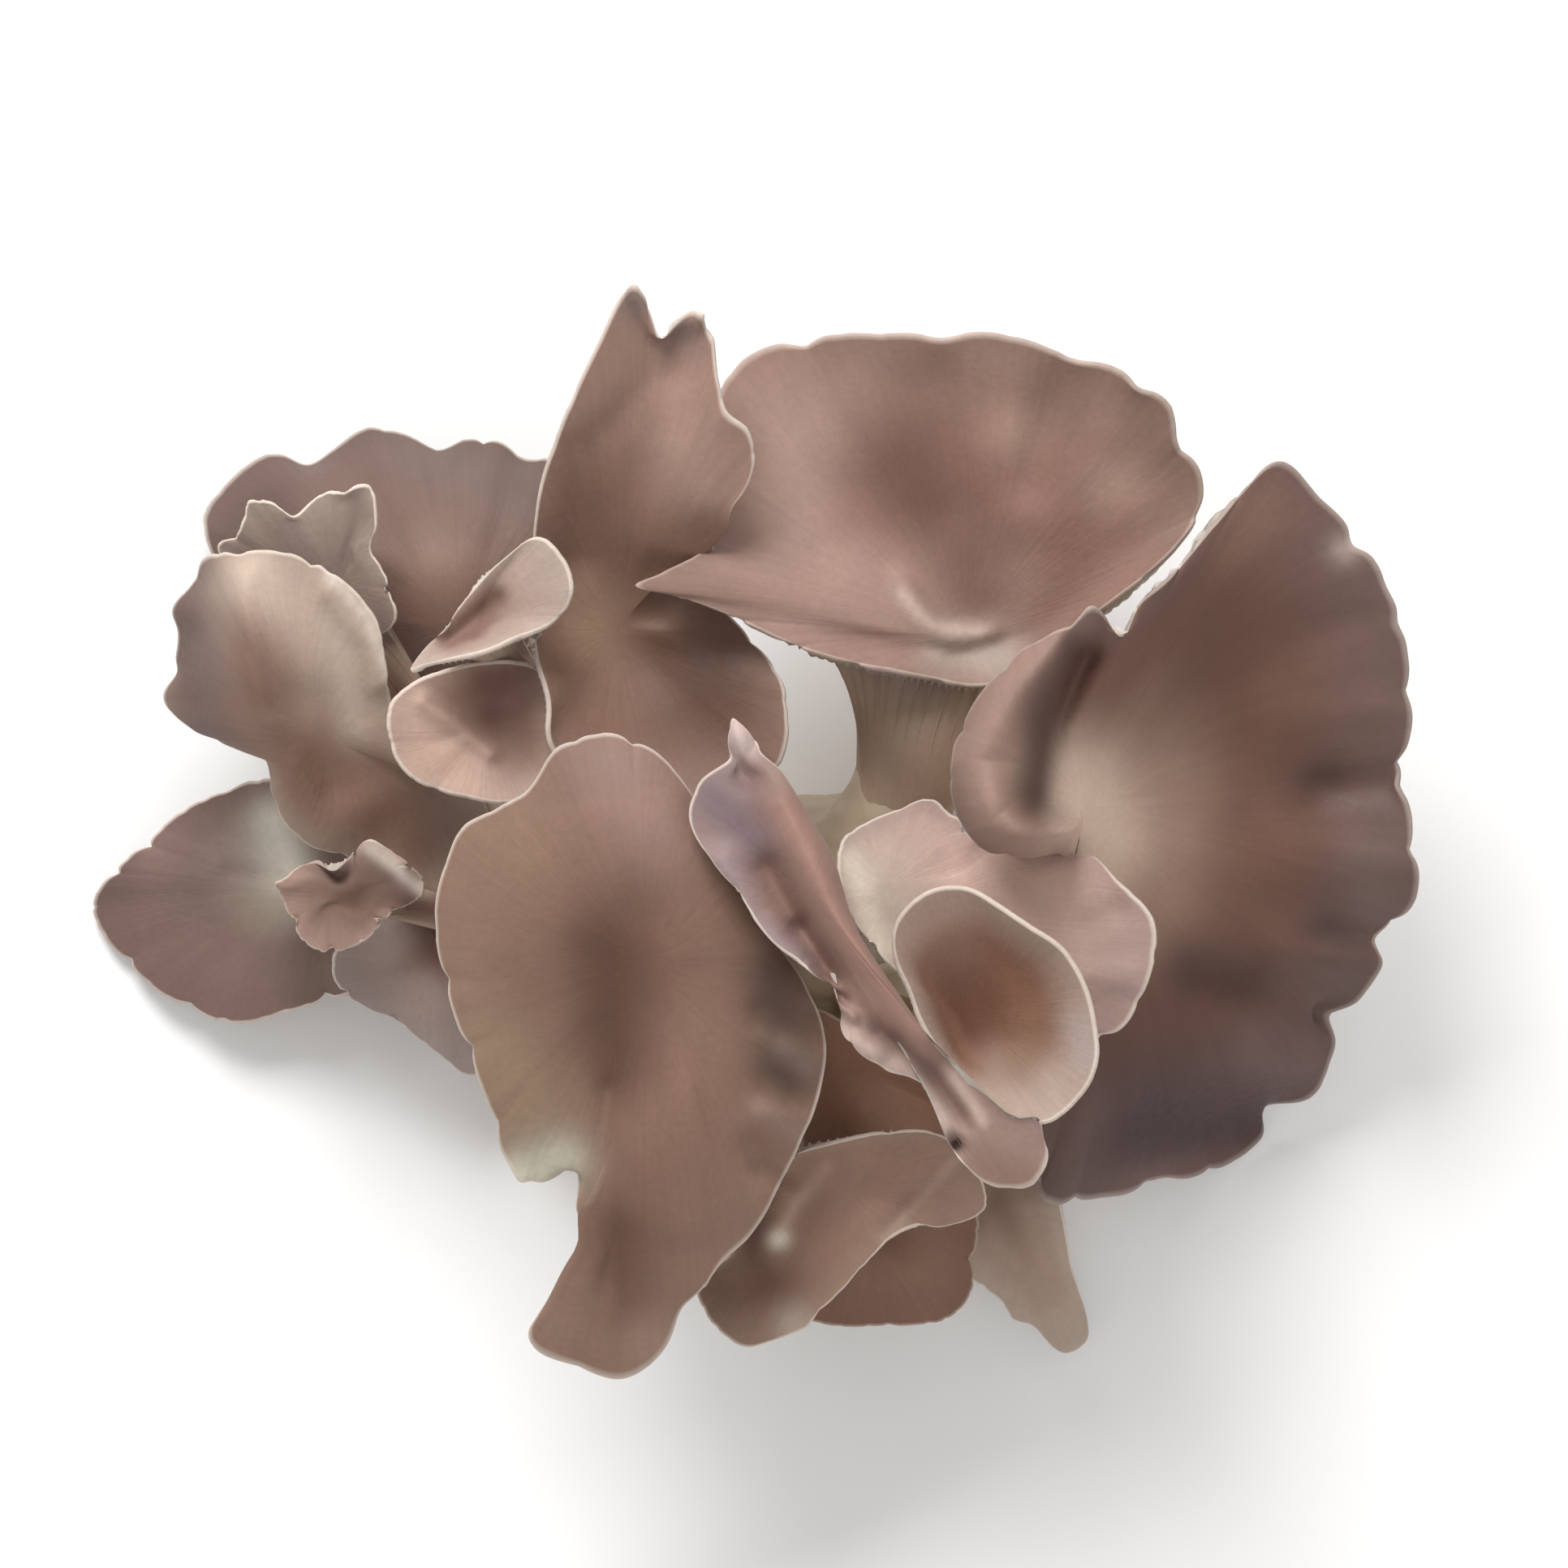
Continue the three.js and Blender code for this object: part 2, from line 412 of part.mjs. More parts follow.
// Cap, rim, gill side, stem and foot of one mushroom in one closed skin.
function mushroomSkin(shape) {
  const { spokes, capRings, gillRings } = shape.size;
  const us = Array.from({ length: spokes }, (_, k) => k / spokes);
  const rings = [];
  for (let r = 1; r <= capRings; r += 1) {
    rings.push(us.map((u) => capPoint(shape, u, r / capRings)));
  }
  for (let r = 0; r < gillRings; r += 1) {
    const t = lerp(1, GILL_START, r / (gillRings - 1));
    rings.push(us.map((u) => gillPoint(shape, u, t)));
  }
  const stem = stemRings(shape, 0, spokes);
  const foot = footOf(stem, 0);
  return skin(shape.crown, [...rings, ...stem.map((s) => s.ring), foot.inner], foot.tip);
}

// The lower run of a stem, made a little larger, that hollows its socket in the base.
function socketSkin(shape) {
  const stem = stemRings(shape, SOCKET_GAP, shape.size.spokes).slice(-SOCKET_RINGS);
  const foot = footOf(stem, SOCKET_GAP);
  return skin(stem[0].here.slice(0, 3), [...stem.map((s) => s.ring), foot.inner], foot.tip);
}

// The base is ringed by its outlines, each drawn in towards the crown at its own height.
function baseSkin() {
  const [cx, cy] = BASE.crown;
  const rings = BASE.levels.map(([outline, share, z]) => (
    Array.from({ length: BASE_SPOKES }, (_, k) => {
      const [x, y] = curve(BASE[outline], k / BASE_SPOKES, true);
      return [lerp(cx, x, share), lerp(cy, y, share), z];
    })
  ));
  return skin(BASE.crown, rings, [cx, cy, 0]);
}

function geometryOf({ points, faces }) {
  const geometry = new THREE.BufferGeometry();
  geometry.setAttribute('position', new THREE.Float32BufferAttribute(points.flat(), 3));
  geometry.setIndex(faces.flat());
  geometry.computeVertexNormals();
  return geometry;
}

function meshOf(geometry, name, colour) {
  const material = new THREE.MeshStandardMaterial({ color: colour, roughness: 0.7 });
  material.name = `${name}_flesh`;
  const mesh = new THREE.Mesh(geometry, material);
  mesh.name = name;
  return mesh;
}

// The base with every stem's socket cut into it.
async function cutBase(sockets) {
  const wasm = await Module();
  wasm.setup();
  const solid = ({ points, faces }) => new wasm.Manifold(new wasm.Mesh({
    numProp: 3,
    vertProperties: new Float32Array(points.flat()),
    triVerts: new Uint32Array(faces.flat()),
  }));
  let base = solid(baseSkin());
  for (const socket of sockets) base = base.subtract(solid(socket));
  const parts = base.decompose().sort((a, b) => b.volume() - a.volume());
  const mesh = parts[0].getMesh();
  const geometry = new THREE.BufferGeometry();
  geometry.setAttribute('position', new THREE.BufferAttribute(mesh.vertProperties, 3));
  geometry.setIndex(new THREE.BufferAttribute(mesh.triVerts, 1));
  geometry.computeVertexNormals();
  return geometry;
}

const cluster = new THREE.Group();
cluster.name = 'oyster_mushroom_cluster';
for (const [name, shape] of Object.entries(MUSHROOMS)) {
  cluster.add(meshOf(geometryOf(mushroomSkin(shape)), name, shape.colour));
}
const base = await cutBase(Object.values(MUSHROOMS).map(socketSkin));
cluster.add(meshOf(base, 'shared_base', BASE.colour));

// The origin sits at the bottom centre of the whole cluster.
const box = new THREE.Box3().setFromObject(cluster);
const middle = box.getCenter(new THREE.Vector3());
for (const mesh of cluster.children) {
  mesh.geometry.translate(-middle.x, -middle.y, -box.min.z);
}

export default cluster;
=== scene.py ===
import bmesh
import bpy
import numpy as np
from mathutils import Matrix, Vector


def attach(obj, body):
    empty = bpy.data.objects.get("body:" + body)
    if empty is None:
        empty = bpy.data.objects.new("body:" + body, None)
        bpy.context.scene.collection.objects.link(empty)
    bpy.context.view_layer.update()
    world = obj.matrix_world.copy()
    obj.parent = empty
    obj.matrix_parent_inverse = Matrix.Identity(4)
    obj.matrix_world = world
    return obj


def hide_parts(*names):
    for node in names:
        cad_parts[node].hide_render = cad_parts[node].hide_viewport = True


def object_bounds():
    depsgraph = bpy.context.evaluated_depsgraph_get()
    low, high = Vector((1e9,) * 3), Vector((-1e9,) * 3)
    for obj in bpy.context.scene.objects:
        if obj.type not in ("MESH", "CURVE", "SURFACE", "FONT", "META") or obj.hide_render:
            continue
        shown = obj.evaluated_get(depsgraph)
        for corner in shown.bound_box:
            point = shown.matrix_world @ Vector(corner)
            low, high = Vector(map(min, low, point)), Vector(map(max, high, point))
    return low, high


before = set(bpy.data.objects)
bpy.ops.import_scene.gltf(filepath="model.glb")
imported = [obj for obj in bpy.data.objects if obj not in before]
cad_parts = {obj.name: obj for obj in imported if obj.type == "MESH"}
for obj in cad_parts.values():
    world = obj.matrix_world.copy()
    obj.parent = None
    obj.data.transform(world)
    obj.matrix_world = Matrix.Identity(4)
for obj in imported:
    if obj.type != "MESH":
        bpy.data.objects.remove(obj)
cad_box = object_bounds()

# ---- Camera ----
# Straight above the cluster, as one looks down on it on a board, through a long lens
# that keeps tall and low caps at nearly the same scale.
VIEW_WIDTH = 0.2473
VIEW_CENTRE = (0.0052, 0.0081)
CAMERA_HEIGHT = 2.4
low, high = (np.array(corner) for corner in cad_box)
camera_data = bpy.data.cameras.new("view_from_above")
camera_data.sensor_width = 36.0
camera_data.lens = camera_data.sensor_width * CAMERA_HEIGHT / VIEW_WIDTH
camera_data.clip_end = 10.0
camera = bpy.data.objects.new("view_from_above", camera_data)
middle = (low + high) / 2
camera.location = (middle[0] + VIEW_CENTRE[0], middle[1] + VIEW_CENTRE[1], middle[2] + CAMERA_HEIGHT)
bpy.context.scene.collection.objects.link(camera)
bpy.context.scene.camera = camera
bpy.context.scene.view_settings.view_transform = "Standard"

# ---- Floor and light ----
# A pale sheet under the cluster, a wide soft lamp from the far side, a weaker one near,
# and an even pale sky, as by a large window on a dull day.
FLOOR_SIZE = 4.0
FLOOR_DROP = 0.0004  # a hair below the cut face, so that the two never lie in one plane
LAMP_AIM = (0, 0, 0.03)
bpy.ops.object.select_all(action="DESELECT")
bpy.ops.mesh.primitive_plane_add(size=FLOOR_SIZE, location=(0, 0, -FLOOR_DROP))
floor = bpy.context.object
floor.name = "floor"
paper = bpy.data.materials.new("pale_paper")
paper.use_nodes = True
paper_shader = paper.node_tree.nodes["Principled BSDF"]
paper_shader.inputs["Base Color"].default_value = (0.86, 0.86, 0.86, 1)
paper_shader.inputs["Roughness"].default_value = 0.9
floor.data.materials.append(paper)


def soft_lamp(name, place, size, power):
    """A square lamp, its size in metres, that looks at the middle of the cluster."""
    data = bpy.data.lights.new(name, "AREA")
    data.shape = "SQUARE"
    data.size = size
    data.energy = power
    lamp = bpy.data.objects.new(name, data)
    lamp.location = place
    east, north, up = np.array(place) - np.array(LAMP_AIM)
    lamp.rotation_euler = (np.arctan2(np.hypot(east, north), up), 0, np.arctan2(east, -north))
    bpy.context.scene.collection.objects.link(lamp)


soft_lamp("window", (-0.35, 1.0, 1.0), 0.7, 22)
soft_lamp("room", (0.5, -0.9, 1.1), 1.2, 4)
sky = bpy.data.worlds.new("dull_sky")
sky.use_nodes = True
sky_light = sky.node_tree.nodes["Background"]
sky_light.inputs["Color"].default_value = (1.0, 0.985, 0.97, 1)
sky_light.inputs["Strength"].default_value = 0.62
bpy.context.scene.world = sky


# ---- Front cap ----
# The broad warm brown cap in front: thin flesh over blade-like gills that run down a
# short stem. It grew out of the shared base and lies over its neighbours.
def rings_of(node):
    """The rings of points round a mushroom's CAD skin in mm, and its crown and foot."""
    skin = bmesh.new()
    skin.from_mesh(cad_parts[node].data)
    bmesh.ops.remove_doubles(skin, verts=skin.verts, dist=1e-6)
    skin.verts.index_update()
    beyond = {}
    for face in skin.faces:
        a, b, c = (v.index for v in face.verts)
        beyond[a, b], beyond[b, c], beyond[c, a] = c, a, b
    spokes = max(len(v.link_edges) for v in skin.verts)
    poles = [v for v in skin.verts if len(v.link_edges) == spokes]
    crown = max(poles, key=lambda v: v.co.z)
    ring = [crown.link_edges[0].other_vert(crown).index]
    while len(ring) < spokes:
        ring.append(beyond[crown.index, ring[-1]])
    place = np.array([v.co for v in skin.verts]) * 1000
    top = crown.index
    skin.free()
    rings = []
    while len(set(ring)) == spokes:
        rings.append(place[ring])
        ring = [beyond[ring[k], ring[k - 1]] for k in range(spokes)]
    return rings, place[top], place[ring[0]]


def eased(rows, at, closed=False):
    """Points on a smooth curve through the rows, at places counted in rows."""
    count = len(rows)
    at = np.asarray(at, float)
    step = np.floor(at).astype(int)
    if not closed:
        step = np.clip(step, 0, count - 2)
    f = (at - step).reshape((-1,) + (1,) * (rows.ndim - 1))
    a, b, c, d = (
        rows[(step + k) % count if closed else np.clip(step + k, 0, count - 1)]
        for k in (-1, 0, 1, 2)
    )
    return 0.5 * (
        2 * b + (c - a) * f + (2 * a - 5 * b + 4 * c - d) * f**2 + (3 * b - a - 3 * c + d) * f**3
    )


def ramp(value, start, end):
    """0 before start, 1 after end, smooth between."""
    part = np.clip((value - start) / (end - start), 0, 1)
    return part * part * (3 - 2 * part)


def outward(rows):
    """The outward direction at every point of the rows of rings."""
    down = np.gradient(rows, axis=0)
    across = np.roll(rows, -1, axis=1) - np.roll(rows, 1, axis=1)
    facing = np.cross(down, across)
    return facing / (np.linalg.norm(facing, axis=2, keepdims=True) + 1e-12)


def near(points, path):
    """How far each point lies, seen from above, from a spot or path given in mm."""
    path = np.array(path, float)
    best = np.linalg.norm(points[..., :2] - path[0], axis=-1)
    for start, end in zip(path, path[1:]):
        run = end - start
        part = np.clip(((points[..., :2] - start) @ run) / (run @ run), 0, 1)
        away = points[..., :2] - start - part[..., None] * run
        best = np.minimum(best, np.linalg.norm(away, axis=-1))
    return best


def wave(angle, lows, seed):
    """An uneven wave round the rim, made of the given numbers of swings."""
    rng = np.random.default_rng(seed)
    total = np.zeros_like(angle)
    for swings in lows:
        total += rng.uniform(0.5, 1) / len(lows) * np.cos(swings * angle + rng.uniform(0, 6.283))
    return total


def tone(code):
    """A hex colour as linear red, green and blue."""
    value = np.array([int(code[i : i + 2], 16) for i in (1, 3, 5)]) / 255
    return np.where(value <= 0.04045, value / 12.92, ((value + 0.055) / 1.055) ** 2.4)


STEM_ROWS = 5  # rings of the CAD skin down the stem
GILL_ROWS = 3  # rings of the CAD skin under the cap
CAP_STEPS = 36  # rings of the finished skin from crown to rim
NECK_STEPS = 25  # rings of the finished skin from the gills to the foot
NECK_BLEND = 8  # rings each side of the neck's corner that are rounded together
GILLS_START = 0.42  # share of the way to the rim where the underside begins
CROWN_FIT = (0.12, 0.55)  # share of the way to the rim where the smooth crown fades out
RIM_THICKNESS = 0.9


def cap_surface(node, spokes, moves, ruffle, nicks, lobes, seed):
    """The upper skin as rings from crown to rim, with its folds and waves, and the stem."""
    rings, crown, foot = rings_of(node)
    coarse = np.array(rings).transpose(1, 0, 2)
    around = np.arange(spokes) / spokes * len(coarse)
    fine = eased(coarse, around, closed=True).transpose(1, 0, 2)
    cap_rings = len(rings) - GILL_ROWS - STEM_ROWS - 1
    opposite = np.roll(fine[:1], spokes // 2, axis=1)
    control = np.concatenate([opposite, np.broadcast_to(crown, opposite.shape), fine[:cap_rings]])
    reach = np.arange(1, CAP_STEPS + 1) / CAP_STEPS
    top = eased(control, 1 + reach * cap_rings)
    angle, reach = np.meshgrid(around / len(coarse) * 2 * np.pi, reach)
    # The skin passes smoothly over the crown, without creases between the spokes.
    inner = reach < 0.6
    x, y = ((top[..., k] - crown[k]) / 20 for k in (0, 1))
    terms = np.stack([x**a * y**b for a in range(4) for b in range(4 - a)], axis=-1)
    fit = np.linalg.lstsq(terms[inner], top[..., 2][inner], rcond=None)[0]
    top[..., 2] += (terms @ fit - top[..., 2]) * (1 - ramp(reach, *CROWN_FIT))
    edge = np.gradient(top, axis=0)
    edge /= np.linalg.norm(edge, axis=2, keepdims=True) + 1e-9
    # Uneven scallops cut into the very rim, with small tears among them.
    swing = angle * lobes / 2 + 2.5 * wave(angle, (2, 3, 5), seed + 5)
    between = (1 - np.abs(np.sin(swing))) ** 2
    between *= np.clip(0.45 + 1.3 * wave(angle, (3, 4, 7), seed + 6), 0, 1)
    tears = 0.35 * np.clip(wave(angle, (17, 23, 31, 41), seed + 7), 0, 1)
    top -= edge * (nicks * (between + tears) * reach**14)[..., None]
    # The rim swings up and down in broad waves, and dips between two scallops.
    lift = 0.65 * wave(angle, (5, 7, 9), seed) * reach**3 - 0.6 * between * reach**7
    top += outward(top) * (ruffle * lift)[..., None]
    shift = sum(
        np.exp(-((near(top, path) / width) ** 2))[..., None] * np.array(push, float)
        for path, push, width in moves
    )
    return top + shift, reach, angle, fine[-STEM_ROWS - 1 :], foot


def gill_sides(top, facing, depth):
    """The gills' side of the cap, held back where a tight notch would fold it over."""
    keep = np.ones(depth.shape)
    for _ in range(10):
        under = top - facing * (depth * keep)[..., None]
        turned = (outward(under) * facing).sum(axis=-1) < 0.3
        turned = (turned | (facing[..., 2] < 0)).astype(float)
        for side in (1, -1, 2, -2):
            turned = np.maximum(turned, np.roll(turned, side, axis=1))
        turned[1:] = np.maximum(turned[1:], turned[:-1])
        turned[:-1] = np.maximum(turned[:-1], turned[1:])
        keep *= 1 - 0.4 * turned
    for _ in range(6):
        keep = (np.roll(keep, 1, axis=1) + 2 * keep + np.roll(keep, -1, axis=1)) / 4
    return top - facing * (depth * keep)[..., None], keep


SPOKES_PER_GILL = 4
GILL_WIDTH = 0.2  # share of its own slot that a blade fills
GILL_HOLLOW = 0.08  # height left between two blades
GILL_REACH = [9.0, 0.35, 0.75, 0.35]  # where each tier ends on its way in from the rim


def gill_height(angle, share, gills):
    """Height of the gill blades: full ones and, between them, two shorter tiers."""
    turn = angle / (2 * np.pi) * gills + 1e-6
    tier = np.floor(turn).astype(int) % len(GILL_REACH)
    blade = np.where(turn % 1 < GILL_WIDTH, 1.0, GILL_HOLLOW)
    end = np.choose(tier, GILL_REACH)
    return blade * (1 - ramp(share, end - 0.12, end + 0.02))


def rolled_sheet(name, rows, end):
    """A flat grid laid over rings of points; merging its doubles then closes it."""
    spokes = rows.shape[1]
    bpy.ops.object.select_all(action="DESELECT")
    bpy.ops.mesh.primitive_grid_add(x_subdivisions=spokes, y_subdivisions=len(rows) + 1, size=2)
    sheet = bpy.context.object
    sheet.name = name
    flat = np.empty(len(sheet.data.vertices) * 3)
    sheet.data.vertices.foreach_get("co", flat)
    flat = flat.reshape(-1, 3)
    column = np.rint((flat[:, 0] + 1) / 2 * spokes).astype(int) % spokes
    row = np.rint((1 - flat[:, 1]) / 2 * (len(rows) + 1)).astype(int)
    first = np.broadcast_to(rows[0].mean(axis=0), rows[:1].shape)
    layers = np.concatenate([first, rows, np.broadcast_to(end, first.shape)])
    points = layers[row, column]
    sheet.data.vertices.foreach_set("co", (points / 1000).ravel())
    return sheet, points, row, column


def merge_doubles():
    """Joins the points of the active piece that lie at one place."""
    bpy.ops.object.mode_set(mode="EDIT")
    bpy.ops.mesh.select_all(action="SELECT")
    bpy.ops.mesh.remove_doubles(threshold=1e-7)
    bpy.ops.object.mode_set(mode="OBJECT")


def grow(
    node, spokes, colours, patches=(), moves=(), ruffle=0.5, nicks=0.6, seed=1,
    flesh=1.8, gill=1.5, pale_rim=0.7, lobes=None,
):
    """One mushroom: a sheet rolled round until it closes, laid over cap, gills and stem.

    The colours are those of throat, middle and margin. A patch is a path, a colour, a width
    and a strength; a move is a path, a push and a width. Lengths are in mm.
    """
    top, reach, angle, stem, foot = cap_surface(
        node, spokes, moves, ruffle, nicks, lobes or spokes // 32, seed
    )
    facing = outward(top)
    out = top[-1] - top[-2]
    out /= np.linalg.norm(out, axis=1, keepdims=True) + 1e-9
    round_out = out * RIM_THICKNESS * 0.28
    start = int(CAP_STEPS * GILLS_START)
    depth = RIM_THICKNESS + flesh * (1 - reach) ** 0.8
    under, keep = gill_sides(top[start:], facing[start:], depth[start:])
    drop = facing[-1] * (RIM_THICKNESS * keep[-1])[:, None]
    lip = np.stack([top[-1] - drop * 0.22 + round_out, top[-1] - drop * 0.72 + round_out])
    under, keep, under_reach = under[::-1], keep[::-1], reach[start:][::-1]
    control = np.concatenate([under[[-9, -1]], stem[1:]])
    neck_way = np.arange(1, NECK_STEPS + 1) / NECK_STEPS
    neck = eased(control, 1 + neck_way * (len(control) - 2))
    rows = np.concatenate([top, lip, under, neck])
    # The neck flows out of the gills without a corner.
    corner = CAP_STEPS + len(lip) + len(under)
    soft = np.zeros((len(rows), 1, 1))
    soft[corner - NECK_BLEND : corner + NECK_BLEND + 1] = 0.5
    for _ in range(30):
        rows += ((np.roll(rows, 1, axis=0) + np.roll(rows, -1, axis=0)) / 2 - rows) * soft
    # The zone runs from 0 to 1 over the upper skin, to 2 under it and to 3 down the stem.
    zone = np.concatenate([
        reach,
        np.ones((len(lip), spokes)),
        2 - (under_reach - GILLS_START) / (1 - GILLS_START),
        np.repeat(2 + neck_way[:, None], spokes, axis=1),
    ])
    level = np.concatenate([
        np.zeros((CAP_STEPS + len(lip), spokes)),
        keep * (0.2 + 0.8 * ramp(facing[start:][::-1][..., 2], 0.15, 0.7)),
        np.ones(neck.shape[:2]),
    ])
    share = zone - 1
    blade = gill_height(np.broadcast_to(angle[:1], zone.shape), share, spokes // SPOKES_PER_GILL)
    blade *= level * ramp(share, 0.02, 0.22) * (1 - ramp(share, 0.8, 1.3))
    rows += outward(rows) * (blade * gill)[..., None]

    piece, points, row, column = rolled_sheet(node.replace("_cap", "_mushroom"), rows, foot)
    ends = np.zeros((1, spokes))
    zone = np.concatenate([ends, zone, ends + 3])[row, column]
    blade = np.concatenate([ends, blade, ends])[row, column]
    paint(piece, points, zone, blade, column / spokes * 2 * np.pi, colours, patches, pale_rim)
    merge_doubles()
    bpy.ops.object.shade_smooth()
    piece.data.materials.append(mushroom_skin())
    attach(piece, "root")
    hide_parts(node)
    feet.append(stem)


RIM_TONE = "#cfc3b8"
GILL_TONE = "#d9cdc0"
STEM_TONE = "#b39a86"
FOOT_TONE = "#c0b09a"


def paint(piece, points, zone, blade, turn, colours, patches, pale_rim):
    """Colours the skin from throat to rim, the gills and the stem, then its patches."""
    throat, middle_tone, margin = (tone(code) for code in colours)
    colour = throat + (middle_tone - throat) * ramp(zone, 0.05, 0.5)[:, None]
    colour += (margin - colour) * ramp(zone, 0.55, 0.97)[:, None]
    # The gills are painted darker between the blades: painted shade in the hollows.
    shade = np.outer(0.6 + 0.4 * np.clip(blade, 0, 1), tone(GILL_TONE))
    below = shade + (tone(STEM_TONE) - shade) * ramp(zone, 1.7, 2.3)[:, None]
    below += (tone(FOOT_TONE) - below) * ramp(zone, 2.35, 2.75)[:, None]
    beyond_rim = ramp(zone, 1.0, 1.03)
    colour += (below - colour) * beyond_rim[:, None]
    # Patches colour the upper skin and the bare stem, but neither the gills nor the foot.
    # Besides the flesh's own colour, many patches are painted shade in hollows, creases and
    # gaps, and painted highlights on ridges.
    seen = (1 - beyond_rim * (1 - ramp(zone, 1.9, 2.2))) * (1 - ramp(zone, 2.55, 2.8))
    for path, code, width, strength in patches:
        share = strength * seen * np.exp(-((near(points, path) / width) ** 2))
        colour += (tone(code) - colour) * share[:, None]
    # The thin rim is painted paler: partly its own pale flesh and torn nicks, partly painted light
    # that shines through the thin edge.
    rim = pale_rim * ramp(zone, 0.985, 1.0) * (1 - beyond_rim)
    colour += (tone(RIM_TONE) - colour) * rim[:, None]
    data = piece.data.attributes.new("tint", "FLOAT_COLOR", "POINT")
    data.data.foreach_set("color", np.column_stack([colour, np.ones(len(colour))]).ravel())
    data = piece.data.attributes.new("fibre", "FLOAT_VECTOR", "POINT")
    data.data.foreach_set("vector", np.column_stack([np.cos(turn), np.sin(turn), zone]).ravel())


def mushroom_skin(name="mushroom_skin"):
    """Satin skin: the painted tint with cloudy mottling, fine fibres and a velvety sheen."""
    if name in bpy.data.materials:
        return bpy.data.materials[name]
    skin = bpy.data.materials.new(name)
    skin.use_nodes = True
    tree = skin.node_tree
    shader = tree.nodes["Principled BSDF"]
    place = tree.nodes.new("ShaderNodeTexCoord")
    tint = tree.nodes.new("ShaderNodeAttribute")
    tint.attribute_name = "tint"
    fibre = tree.nodes.new("ShaderNodeAttribute")
    fibre.attribute_name = "fibre"

    def cloud(source, scale, detail, stretch=(1, 1, 1)):
        """A soft cloudy pattern, stretched along the fibres where they are its source."""
        turn = tree.nodes.new("ShaderNodeMapping")
        turn.inputs["Scale"].default_value = stretch
        tree.links.new(source, turn.inputs["Vector"])
        noise = tree.nodes.new("ShaderNodeTexNoise")
        noise.inputs["Scale"].default_value = scale
        noise.inputs["Detail"].default_value = detail
        tree.links.new(turn.outputs["Vector"], noise.inputs["Vector"])
        return noise.outputs["Fac"]

    def spread(value, low_end, high_end):
        """Stretches a cloud's values between two brightnesses."""
        fit = tree.nodes.new("ShaderNodeMapRange")
        fit.inputs["From Min"].default_value = 0.3
        fit.inputs["From Max"].default_value = 0.7
        fit.inputs["To Min"].default_value = low_end
        fit.inputs["To Max"].default_value = high_end
        tree.links.new(value, fit.inputs["Value"])
        return fit.outputs["Result"]

    def times(a, b):
        """The product of two values."""
        join = tree.nodes.new("ShaderNodeMath")
        join.operation = "MULTIPLY"
        tree.links.new(a, join.inputs[0])
        tree.links.new(b, join.inputs[1])
        return join.outputs["Value"]

    mottle = cloud(place.outputs["Object"], 60, 3)
    speckle = cloud(place.outputs["Object"], 900, 2)
    streak = cloud(fibre.outputs["Vector"], 3, 3, (9, 9, 0.6))
    grain = times(spread(mottle, 0.9, 1.09), spread(speckle, 0.96, 1.04))
    bright = times(grain, spread(streak, 0.96, 1.04))
    mix = tree.nodes.new("ShaderNodeMix")
    mix.data_type = "RGBA"
    mix.blend_type = "MULTIPLY"
    mix.inputs["Factor"].default_value = 1.0
    tree.links.new(tint.outputs["Color"], mix.inputs["A"])
    tree.links.new(bright, mix.inputs["B"])
    tree.links.new(mix.outputs["Result"], shader.inputs["Base Color"])
    tree.links.new(spread(speckle, 0.5, 0.66), shader.inputs["Roughness"])
    bump = tree.nodes.new("ShaderNodeBump")
    bump.inputs["Strength"].default_value = 0.3
    bump.inputs["Distance"].default_value = 0.0004
    tree.links.new(times(streak, speckle), bump.inputs["Height"])
    tree.links.new(bump.outputs["Normal"], shader.inputs["Normal"])
    shader.inputs["Specular IOR Level"].default_value = 0.25
    shader.inputs["Sheen Weight"].default_value = 0.03
    shader.inputs["Sheen Roughness"].default_value = 0.5
    shader.inputs["Subsurface Weight"].default_value = 0.1
    shader.inputs["Subsurface Radius"].default_value = (0.004, 0.0022, 0.0014)
    shader.inputs["Subsurface Scale"].default_value = 0.5
    return skin


